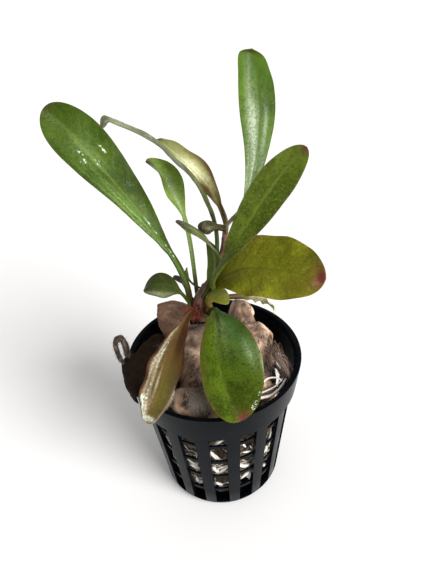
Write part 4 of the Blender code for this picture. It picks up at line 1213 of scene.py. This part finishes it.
def leaf_spine(leaf):
    """The midrib's points and axes, half the width and the share of the length, row by row. A
    Hermite curve leads from the crown to the leaf's foot, where it has the midrib's own
    direction."""
    rows = int(np.clip(leaf.length * ROWS_PER_MM, FEWEST_ROWS, MOST_ROWS))
    t = 1 - (1 - np.linspace(0, LAST_ROW, rows)) ** (1 + 0.12 * leaf.blunt)
    points, side, face = midrib_frame(leaf, t)
    half = np.maximum(half_width(leaf, t), NARROWEST_HALF)
    s = np.linspace(0, 1, STALK_ROWS + 1)[:-1]
    reach = np.linalg.norm(np.subtract(leaf.base, leaf.crown))
    leave = unit(np.cross(side[0], face[0])) * reach
    start, end = np.array(leaf.crown, float), points[0]
    u = s[:, None]
    foot = ((2 * u ** 3 - 3 * u ** 2 + 1) * start + (u ** 3 - 2 * u ** 2 + u) * (end - start)
            + (3 * u ** 2 - 2 * u ** 3) * end + (u ** 3 - u ** 2) * leave)
    points = np.vstack([foot, points])
    side = np.vstack([np.repeat(side[:1], STALK_ROWS, 0), side])
    face = np.vstack([np.repeat(face[:1], STALK_ROWS, 0), face])
    half = np.concatenate([half[0] * (1 + STALK_FLARE * (1 - s) ** 2), half])
    along = np.concatenate([STALK_START * (1 - s), t])
    return points, side, face, half[:, None], along[:, None]


print("large leaf's rows:", len(leaf_spine(LEAVES[0])[0]))

# %% Leaf layers
VEIN_PITCH, VEIN_LEAN = 3.2, 0.16
# Kinds of mark. Brown is age. Pale marks are mostly painted sheen and highlights, with paler
# tissue in a few places. Dark marks are mostly painted shade on shaded halves, folds and the
# midrib, with darker tissue in a few places. Cool marks tint the leaf with its look's cool colour:
# real tissue colour on most leaves, a painted sheen on the front leaf, and the pink tip of the
# round leaf with a painted highlight in it. Glints are painted highlights.
MARK_KINDS = ("brown", "pale", "dark", "cool", "glint")
STREAK_LENGTH, STREAK_WIDTH = 9.0, 1.3


def from_midrib(leaf, along, across):
    """The way across less the midrib's slide, which fades to nothing at both margins as
    1 - across^2."""
    return across - parabola(leaf.midline, np.clip(along, 0, 1)) * (1 - across ** 2)


def leaf_layers(leaf, along, across):
    """Numbers over the blade: the midrib is a narrow bell across, side veins are thin lines
    that lean towards the tip, and each mark of the leaf is a bell in both directions."""
    blade = ease(leaf.neck * 0.6, leaf.neck * 0.6 + 0.25, along)
    spacing = VEIN_PITCH / leaf.length
    lean = (along - VEIN_LEAN * np.abs(across) ** 0.8) / spacing
    wobble = 0.25 * soft_noise(np.stack([along * 12, across * 3, 0 * along], -1), 1.0, leaf.seed)
    phase = np.abs((lean + wobble) % 1 - 0.5)
    veins = (ease(0.12, 0.0, phase) * ease(0.05, 0.2, np.abs(across))
             * ease(1.0, 0.7, np.abs(across)))
    across = from_midrib(leaf, along, across)
    midrib = bell(across, 0, 0.045 + 0.25 * ease(0.4, 0.0, along))
    drawn_out = np.stack([along * leaf.length / STREAK_LENGTH,
                          across * leaf.width / STREAK_WIDTH, 0 * along], -1)
    layers = {"midrib": midrib * ease(1.0, 0.8, along), "veins": veins * blade,
              "streaks": 0.5 + 0.5 * soft_noise(drawn_out, 1.0, leaf.seed + 40)}
    for kind in MARK_KINDS:
        layers[kind] = 0 * along
        for u, v, long, wide, strength in leaf.marks.get(kind, ()):
            spot = strength * bell(along, u, long) * bell(across, v, wide)
            layers[kind] = np.maximum(layers[kind], spot)
    return layers


print("marks on all leaves:", sum(len(m) for leaf in LEAVES for m in leaf.marks.values()))

# %% Leaf surface
SIDES_PER_MM, FEWEST_SIDES, MOST_SIDES = 6, 28, 96
LEAF_THICK, LEAF_THIN, STALK_THICKEST = 0.62, 0.26, 1.4
NARROW_LEAF, NARROW_LEAF_SHARE = 5.5, 0.6
DENT_SIZE, DENT_DEPTH, VEIN_DEPTH = 6.0, 0.22, 0.05
FOLD_SOFTNESS, MARGIN_TURN, LENS_POWER = 0.006, 2.2, 0.45


def leaf_thickness(leaf, half, along, across):
    """How thick the lens is, and how much of a spot is stalk. The blade is thickest in a bell
    about its middle, and no spot is much thicker than it is wide."""
    stalky = (ease(1.6, 0.9, half / (leaf.stalk / 2) / 1.4)
              * ease(leaf.widest, leaf.widest * 0.7, along))
    thick = LEAF_THIN + (LEAF_THICK - LEAF_THIN) * bell(across, 0, 0.35)
    thick = thick * (NARROW_LEAF_SHARE if leaf.width <= NARROW_LEAF else 1.0)
    thick = thick + (np.minimum(leaf.stalk * 0.8, STALK_THICKEST) - thick) * stalky
    return np.minimum(thick, 1.6 * half + 0.05), stalky


def leaf_mesh(leaf):
    """The grid: along the leaf by share, and round the lens by an angle whose cosine is the
    way across. Each half is lifted by the sine of its fold, and on that lie the waves, which
    run out of step on the two margins, the dents, the groove, the veins and half the
    thickness."""
    points, side, face, half, along = leaf_spine(leaf)
    sides = int(np.clip(leaf.width * SIDES_PER_MM, FEWEST_SIDES, MOST_SIDES)) // 2 * 2
    angle = np.linspace(0, 2 * np.pi, sides, endpoint=False)[None, :]
    across = np.cos(angle) + 0 * along
    layers = leaf_layers(leaf, along + 0 * angle, across)
    thick, stalky = leaf_thickness(leaf, half, along, across)
    size, count, phase = leaf.waves
    blade = ease(leaf.neck, leaf.neck + 0.25, along) * ease(1.0, 0.9, along)
    ripple = size * np.abs(across) ** 3 * np.sin(2 * np.pi * (count * along + phase)
                                                  + MARGIN_TURN * np.sign(across)) * blade
    spread = np.stack([along * leaf.length + 0 * across, across * half, 0 * across], -1)
    broad = ease(0, 3, half)
    dents = DENT_DEPTH * layered_noise(spread, DENT_SIZE, leaf.seed, 2) * blade * broad
    left, right = (math.radians(f) for f in leaf.fold)
    fold = np.where(across > 0, left, right) * (1 - 0.6 * stalky)
    slid = from_midrib(leaf, along, across)
    bend = np.sqrt(slid ** 2 + FOLD_SOFTNESS) - math.sqrt(FOLD_SOFTNESS)
    shift = half * (np.cos(fold) * across)
    skin = np.sign(np.sin(angle)) * np.abs(np.sin(angle)) ** LENS_POWER
    groove = -leaf.groove * layers["midrib"] * blade
    pucker = -VEIN_DEPTH * layers["veins"] * broad
    lift = half * np.sin(fold) * bend + (ripple + dents)
    lift = lift + skin * thick / 2 + groove + pucker
    rings = (points[:, None, :] + shift[..., None] * side[:, None, :]
             + lift[..., None] * face[:, None, :])
    layers["under"] = ease(0.15, -0.15, np.sin(angle)) + 0 * along
    layers["edge"] = np.abs(across) ** 12 * blade
    uv = np.stack([along + 0 * across, 0.5 + 0.5 * across], -1)
    return closed_tube(leaf.name + "_blade", rings, layers, uv)


test = leaf_mesh(LEAVES[0])
print("large leaf:", len(test.polygons), "faces")
bpy.data.meshes.remove(test)

# %% [markdown]
# The leaves differ far more in colour than in form: the youngest are bright green, the oldest
# yellow or brown. Each kind has a row of colours, as linear shares of red, green and blue.

# %% Leaf looks
@dataclass
class LeafLook:
    """Colours of one kind of leaf, how rough it is when dry and when wet, and how strong its
    speckle, its shine, its side veins and its brown rim are. The shade colour is the painted
    shade of the dark marks, and the pale colour that of the pale marks, mostly painted sheen."""
    dark: tuple
    light: tuple
    vein: tuple
    under: tuple
    brown: tuple
    pale: tuple
    shade: tuple
    cool: tuple = (0.06, 0.13, 0.045)
    dry: float = 0.42
    wet: float = 0.12
    speckle: float = 0.5
    gloss: float = 0.14
    veining: float = 0.16
    rim: float = 0.25


LEAF_LOOKS = {
    "fresh": LeafLook(
        dark=(0.03, 0.0642, 0.0036), light=(0.075, 0.1278, 0.012), vein=(0.135, 0.1898, 0.036),
        under=(0.0675, 0.1022, 0.018), brown=(0.05, 0.042, 0.012), pale=(0.33, 0.50, 0.17),
        shade=(0.0255, 0.0453, 0.0024), speckle=0.6, gloss=0.10),
    # The front leaf's vein colour is dark: painted shade in the crease along its midrib. Its cool
    # colour is a painted sheen on the right of the blade.
    "front": LeafLook(
        dark=(0.0188, 0.0354, 0.0011), light=(0.0698, 0.11, 0.00546), vein=(0.03, 0.042, 0.0015),
        under=(0.052, 0.0756, 0.0126), brown=(0.13, 0.035, 0.022), pale=(0.3, 0.42, 0.22),
        shade=(0.0221, 0.0302, 0.0013), cool=(0.035, 0.085, 0.02), dry=0.5, speckle=1.0,
        gloss=0.06),
    "bright": LeafLook(
        dark=(0.0832, 0.1641, 0.0136), light=(0.20, 0.38, 0.034), vein=(0.2592, 0.4129, 0.093),
        under=(0.18, 0.2945, 0.0625), brown=(0.06, 0.05, 0.012), pale=(0.82, 0.94, 0.7),
        shade=(0.075, 0.155, 0.015), gloss=0.08),
    "middle": LeafLook(
        dark=(0.1478, 0.2471, 0.029), light=(0.3081, 0.4608, 0.0828), vein=(0.348, 0.48, 0.144),
        under=(0.2175, 0.315, 0.084), brown=(0.045, 0.028, 0.016), pale=(0.62, 0.74, 0.48),
        shade=(0.087, 0.135, 0.018)),
    "mottled": LeafLook(
        dark=(0.0351, 0.0555, 0.00216), light=(0.0966, 0.133, 0.00792),
        vein=(0.115, 0.155, 0.018), under=(0.112, 0.156, 0.022), brown=(0.08, 0.03, 0.02),
        pale=(0.2, 0.26, 0.1), shade=(0.028, 0.0483, 0.0022), speckle=1.0, veining=0.3),
    # The olive look's cool colour is pink: the round leaf's pink tip, with a painted highlight in
    # it.
    "olive": LeafLook(
        dark=(0.133, 0.141, 0.00575), light=(0.25, 0.254, 0.0145), vein=(0.099, 0.114, 0.007),
        under=(0.181, 0.206, 0.028), brown=(0.13, 0.035, 0.022), pale=(0.24, 0.26, 0.09),
        shade=(0.099, 0.086, 0.0056), cool=(0.62, 0.29, 0.25), speckle=1.0, veining=0.8),
    "yellow": LeafLook(
        dark=(0.17, 0.1785, 0.039), light=(0.374, 0.374, 0.1482), vein=(0.425, 0.408, 0.1872),
        under=(0.255, 0.255, 0.0936), brown=(0.075, 0.038, 0.014), pale=(0.75, 0.76, 0.55),
        shade=(0.102, 0.085, 0.0234), cool=(0.15, 0.19, 0.06), rim=0.3),
    "grey": LeafLook(
        dark=(0.0442, 0.0599, 0.012), light=(0.118, 0.146, 0.0429), vein=(0.202, 0.232, 0.0924),
        under=(0.092, 0.112, 0.0396), brown=(0.03, 0.022, 0.014), pale=(0.45, 0.5, 0.38),
        shade=(0.0276, 0.0344, 0.0099)),
    "dull": LeafLook(
        dark=(0.022, 0.036, 0.004), light=(0.058, 0.075, 0.012), vein=(0.11, 0.14, 0.04),
        under=(0.08, 0.10, 0.035), brown=(0.08, 0.03, 0.016), pale=(0.48, 0.50, 0.32),
        shade=(0.012, 0.018, 0.003)),
    "brown": LeafLook(
        dark=(0.11, 0.06, 0.016), light=(0.26, 0.18, 0.055), vein=(0.2, 0.15, 0.04),
        under=(0.14, 0.1, 0.03), brown=(0.085, 0.034, 0.012), pale=(0.88, 0.82, 0.62),
        shade=(0.1, 0.085, 0.012), cool=(0.2, 0.19, 0.035), gloss=0.07, rim=0.7),
    "curled": LeafLook(
        dark=(0.036, 0.0336, 0.0096), light=(0.0816, 0.072, 0.018), vein=(0.16, 0.17, 0.08),
        under=(0.05, 0.045, 0.018), brown=(0.022, 0.015, 0.008), pale=(0.4, 0.44, 0.3),
        shade=(0.03, 0.025, 0.01)),
    "stub": LeafLook(
        dark=(0.05, 0.065, 0.028), light=(0.12, 0.15, 0.075), vein=(0.12, 0.15, 0.08),
        under=(0.05, 0.06, 0.03), brown=(0.05, 0.035, 0.02), pale=(0.3, 0.34, 0.24),
        shade=(0.03, 0.02, 0.01)),
    "bud": LeafLook(
        dark=(0.045, 0.026, 0.018), light=(0.12, 0.075, 0.05), vein=(0.12, 0.075, 0.05),
        under=(0.07, 0.04, 0.028), brown=(0.03, 0.016, 0.01), pale=(0.3, 0.22, 0.18),
        shade=(0.02, 0.012, 0.01)),
    "pale_bud": LeafLook(
        dark=(0.18, 0.15, 0.09), light=(0.36, 0.32, 0.22), vein=(0.34, 0.28, 0.2),
        under=(0.24, 0.20, 0.13), brown=(0.12, 0.05, 0.03), pale=(0.5, 0.42, 0.34),
        shade=(0.1, 0.07, 0.05)),
}
print("kinds of leaf:", ", ".join(LEAF_LOOKS))

# %% [markdown]
# The colour of a leaf changes on four scales: broad clouds of two greens, a mottle of a few
# millimetres, a fine speckle from the cells, and lines and marks that follow the surface; some
# of the marks are painted shade, painted sheen and painted highlights. A leaf out of water is
# glossy where it is wet and softer where it has dried, so the roughness has its own clouds, and
# beads of noise inside the glint marks are painted highlights in the colour as well as the
# smoothest spots. A little light passes through the blade, which subsurface scattering with a
# very short reach gives.

# %% Leaf finishes
# The colour of the painted highlights
GLINT_COLOUR = (0.66, 0.76, 0.64)


def leaf_recipe(name, look, seed):
    """Clouds, mottle, speckle, veins and marks for the colour, with painted shade from the dark
    marks, painted sheen from the pale ones and painted highlights from the glints; a film of wet
    in clouds and the glints for the gloss, but never on the midrib; speckle, mottle and film for
    the bump."""
    leaf = Recipe(name)
    clouds = leaf.noise(7.0 + 0.37 * seed, 3.0, 0.6)
    cells = leaf.noise(0.55, 3.0, 0.65)
    mottle = leaf.noise(2.2 + 0.1 * seed, 4.0, 0.7)
    colour = leaf.mix(leaf.remap(clouds, 0.35, 0.65), look.dark, look.light)
    colour = leaf.mix(leaf.remap(mottle, 0.52, 0.66, 0.0, 0.75 * look.speckle), colour, look.dark)
    colour = leaf.mix(leaf.remap(mottle, 0.34, 0.48, 0.6 * look.speckle, 0.0), colour, look.light)
    colour = leaf.mix(leaf.remap(cells, 0.51, 0.68, 0.0, look.speckle), colour, look.light)
    colour = leaf.mix(leaf.remap(cells, 0.33, 0.47, look.speckle, 0.0), colour, look.dark)
    # Painted shade: the dark marks mix towards the shade colour
    colour = leaf.mix(leaf.maths("MULTIPLY", leaf.layer("dark"), 0.75), colour, look.shade)
    # The cool marks: a cooler or pinker tint, in places a painted sheen or highlight
    cool = leaf.maths("MULTIPLY", leaf.layer("cool"), leaf.remap(cells, 0.3, 0.6, 0.5, 1.0))
    colour = leaf.mix(cool, colour, look.cool)
    colour = leaf.mix(leaf.maths("MULTIPLY", leaf.layer("veins"), look.veining), colour, look.vein)
    colour = leaf.mix(leaf.maths("MULTIPLY", leaf.layer("midrib"), 0.65), colour, look.vein)
    colour = leaf.mix(leaf.maths("MULTIPLY", leaf.layer("under"), 0.6), colour, look.under)
    # Painted sheen: the pale marks, broken by the cells and drawn out in streaks
    streaks = leaf.remap(leaf.layer("streaks"), 0.35, 0.65, 0.45, 1.0)
    ragged = leaf.maths("MULTIPLY", leaf.layer("pale"), leaf.remap(cells, 0.35, 0.6, 0.4, 1.0))
    colour = leaf.mix(leaf.maths("MULTIPLY", ragged, streaks), colour, look.pale)
    colour = leaf.mix(leaf.maths("MULTIPLY", leaf.layer("edge"), look.rim), colour, look.brown)
    torn = leaf.maths("MULTIPLY", leaf.layer("brown"), leaf.remap(clouds, 0.3, 0.5, 0.7, 1.3))
    colour = leaf.mix(torn, colour, look.brown)
    # Painted highlights: beads of noise inside the glint marks, mixed towards the glint colour
    beads = leaf.noise(0.8, 3.0, 0.7)
    glint = leaf.remap(leaf.maths("MULTIPLY", leaf.layer("glint"), leaf.remap(beads, 0.46, 0.58)),
                       0.30, 0.60)
    colour = leaf.mix(glint, colour, GLINT_COLOUR)
    film = leaf.noise(3.0, 3.0, 0.55)
    film = leaf.maths("MULTIPLY", leaf.remap(film, 0.48, 0.62, 0.0, 0.8),
                      leaf.remap(leaf.layer("midrib"), 0.0, 1.0, 1.0, 0.1))
    damp = leaf.maths("MAXIMUM", film, glint)
    skin = leaf.bump(cells, 0.05, 0.5, leaf.bump(mottle, 0.30, 0.5))
    roughness = leaf.maths("MAXIMUM", leaf.remap(damp, 0.0, 1.0, look.dry, look.wet),
                           leaf.remap(leaf.layer("midrib"), 0.0, 0.5, 0.0, 0.9))
    return leaf.finish(
        Base_Color=colour, Roughness=roughness,
        Normal=leaf.bump(film, 0.10, 0.4, skin),
        Subsurface_Weight=0.2, Subsurface_Radius=(0.9, 1.0, 0.2), Subsurface_Scale=0.0004,
        Specular_IOR_Level=look.gloss)


for leaf in LEAVES:
    add_piece(leaf.name + "_blade", leaf_mesh(leaf),
              leaf_recipe(leaf.name + "_skin", LEAF_LOOKS[leaf.look], leaf.seed),
              leaf.slot, leaf.name)

# %% [markdown]
# ## Stem and crown
#
# The leaves spring from a swollen crown just above the wool, and one thin stem carries the
# upper ones. It is a round tube along a smooth path with a soft swelling at each joint, and it
# is reddish brown, redder low down.

# %% Stem
STEM_POINTS = [(-2.6, 5.5, 56.8), (-2.6, 5.5, 59.5), (-2.4, 5.6, 63.0), (-0.8, 5.7, 66.5),
               (1.4, 5.5, 71.5), (4.2, 5.2, 79.0), (5.6, 5.0, 86.3)]
STEM_RADII = [1.4, 1.9, 2.4, 2.0, 0.9, 0.7, 0.7]
STEM_JOINTS, JOINT_SWELLING = (0.55, 0.66, 0.80, 0.93), 0.16
t = np.linspace(0, 1, 150)
stem_path = smooth_path(STEM_POINTS, t)
joints = 1 + JOINT_SWELLING * sum(bell(t, m, 0.012) for m in STEM_JOINTS)
stem_radius = np.interp(t, np.linspace(0, 1, len(STEM_RADII)), STEM_RADII) * joints
stem_radius = stem_radius * np.sqrt(1 - 0.9 * ease(0.97, 1, t) ** 2)
stem = sweep(stem_path, stem_radius, 40)
stem_out = unit(stem - stem_path[:, None, :])
scales = soft_noise(stem * np.array([1, 1, 0.8]), 1.3, 51)
stem = stem + (0.16 * scales * ease(0.5, 0.2, t)[:, None])[..., None] * stem_out
stem_mesh = closed_tube("stem_detail", stem, {"low": ease(0.5, 0.25, t)[:, None] + 0 * scales,
                                              "scales": scales})
bark = Recipe("stem_skin")
streaks = bark.noise(0.8, 3.0, 0.6, stretch=(1, 1, 3))
bark_colour = bark.mix(bark.remap(streaks, 0.35, 0.65), (0.07, 0.032, 0.018), (0.19, 0.095, 0.058))
low_colour = bark.mix(bark.remap(streaks, 0.4, 0.6), (0.085, 0.042, 0.023), (0.19, 0.105, 0.064))
stem_finish = bark.finish(
    Base_Color=bark.mix(bark.layer("low"), bark_colour, low_colour),
    Roughness=0.4, Normal=bark.bump(streaks, 0.08, 0.6))
add_piece("stem_detail", stem_mesh, stem_finish, "stem", "stem")

# %% [markdown]
# Young roots break out of the crown on its left, as a tuft of short maroon hairs. They start
# on the crown and spread outwards and down.

# %% Red crown hairs
HAIRS = 340
HAIR_PLACE, HAIR_SPREAD, HAIR_WAY = (-4.9, 3.6, 61.3), (0.8, 0.6, 0.8), (-0.35, -0.75, -0.1)
hair_start = np.array(HAIR_PLACE) + rng.normal(0, 1, (HAIRS, 3)) * np.array(HAIR_SPREAD)
hair_way = unit(np.array(HAIR_WAY) + rng.normal(0, 0.6, (HAIRS, 3)))
step = np.linspace(0, 1, 7)[None, :, None]
curl = rng.normal(0, 0.5, (HAIRS, 1, 3))
hair_paths = hair_start[:, None, :] + rng.uniform(0.8, 1.9, (HAIRS, 1, 1)) * (
    hair_way[:, None, :] * step + curl * step ** 2)
hair_width = rng.uniform(0.07, 0.16, (HAIRS, 1)) * np.linspace(1, 0.35, 7)[None, :]
hair_mesh = strand_mesh("crown_hairs", hair_paths, hair_width, 4,
                        {"shade": rng.uniform(0, 1, HAIRS)})
hair_look = Recipe("crown_hair_red")
hair_finish = hair_look.finish(
    Base_Color=hair_look.mix(hair_look.layer("shade"), (0.20, 0.025, 0.022), (0.62, 0.13, 0.11)),
    Roughness=0.4)
add_piece("crown_hairs", hair_mesh, hair_finish, "stem")

# %% [markdown]
# ## White roots at the rim
#
# At the front right, a few thick roots have grown out of the wool and loop along the pot's
# wall. They are glossy and almost white. Each is a round tube that thins towards its tip, along
# a smooth curve through four points.

# %% Front roots
FRONT_ROOTS = {
    "root_front_upper": ([(12, -13, 47.6), (14, -11.6, 48.2), (16.4, -11.8, 48.4),
                          (17.6, -12.8, 48.1)], 0.30),
    "root_front_middle": ([(11.4, -15.2, 46.6), (14, -14, 46.4), (16.4, -12.4, 46.2),
                           (18.2, -10.4, 46.4)], 0.30),
    "root_front_thick": ([(11, -17.4, 47.2), (14, -16.6, 46.9), (16.8, -14.2, 46.7),
                          (19, -11, 46.8)], 0.45)}
t = np.linspace(0, 1, 60)
white_look = Recipe("white_root_skin")
rings_of_root = white_look.noise(0.6, 2.0, 0.5)
white_finish = white_look.finish(
    Base_Color=white_look.mix(rings_of_root, (0.62, 0.56, 0.47), (0.90, 0.88, 0.84)),
    Roughness=0.22, Subsurface_Weight=0.3, Subsurface_Radius=(1.0, 0.8, 0.6),
    Subsurface_Scale=0.0006, Normal=white_look.bump(rings_of_root, 0.05, 0.5))
for name, (points, radius) in FRONT_ROOTS.items():
    path = smooth_path(points, t)
    width = radius * (1 - 0.4 * t) * (1 + 0.10 * soft_noise(path, 0.8, 61))
    add_piece(name + "_skin", closed_tube(name + "_skin", sweep(path, width, 20)),
              white_finish, "root", name)

# %% [markdown]
# ## The tuft of wool over the edge
#
# At the left, a felted tuft of wool has been pulled out over the rim and twists back on itself
# in a small loop. It is a tube too, roughened by noise. A haze of short fibres stands out of
# the felt, and without them it would look like clay.

# %% Wool tuft over the rim
TUFT_POINTS = [(-24.6, -1.8, 51.1), (-24.6, -0.3, 52.0), (-25.0, 0.9, 53.6), (-25.8, 2.0, 54.8),
               (-27.0, 2.2, 55.0), (-27.7, 1.6, 53.7), (-27.6, 0.8, 51.9), (-27.1, -0.4, 50.9),
               (-26.2, -2.4, 50.8), (-25.5, -3.9, 50.8)]
TUFT_RADII = [0.6, 0.95, 1.0, 0.95, 0.9, 0.75, 0.75, 0.7, 0.6, 0.45]
t = np.linspace(0, 1, 160)
tuft_path = smooth_path(TUFT_POINTS, t)
tuft_radius = np.interp(
    t, np.linspace(0, 1, len(TUFT_RADII)), TUFT_RADII) * np.sqrt(1 - 0.8 * ease(0.95, 1, t))
tuft = sweep(tuft_path, tuft_radius * 0.94, 40)
tuft_out = unit(tuft - tuft_path[:, None, :])
felted = layered_noise(tuft, 0.9, 71)
tuft = tuft + (0.16 * felted)[..., None] * tuft_out
tuft_finish = wool_recipe("grey_wool_felt", 0.15, (0.13, 0.105, 0.09), (0.06, 0.045, 0.037),
                          (0.025, 0.018, 0.015), (0.02, 0.015, 0.012))
# The lump layer follows the felt noise, so the finish paints light on the proud felt and shade in
# its hollows
tuft_mesh = closed_tube("wool_tuft_felt", tuft, {"lump": 0.3 + felted, "soaked": 0 * felted})
print("tuft:", len(tuft_mesh.polygons), "faces")

# %% Haze on the tuft
HAZE = 700
root_at = rng.integers(0, tuft.shape[0] - 4, HAZE), rng.integers(0, tuft.shape[1], HAZE)
haze_out = unit(tuft_out[root_at] + rng.normal(0, 0.6, (HAZE, 3)))
s = np.linspace(0, 1, 6)[None, :, None]
haze = tuft[root_at][:, None] + haze_out[:, None] * s * rng.uniform(0.2, 0.75, (HAZE, 1, 1))
haze = haze + rng.normal(0, 0.12, (HAZE, 1, 3)) * s ** 2 - np.array([0, 0, 0.15]) * s ** 2
haze_radius = rng.uniform(0.025, 0.05, (HAZE, 1)) * (1.1 - s[0, :, 0])
haze_mesh = strand_mesh("wool_tuft_haze", haze, haze_radius, 3,
                        {"shade": rng.uniform(0, 0.5, HAZE)})
add_piece("wool_tuft_haze", haze_mesh, strand_finish, "wool_dark")
add_piece("wool_tuft_felt", tuft_mesh, tuft_finish, "wool_dark", "wool_tuft")
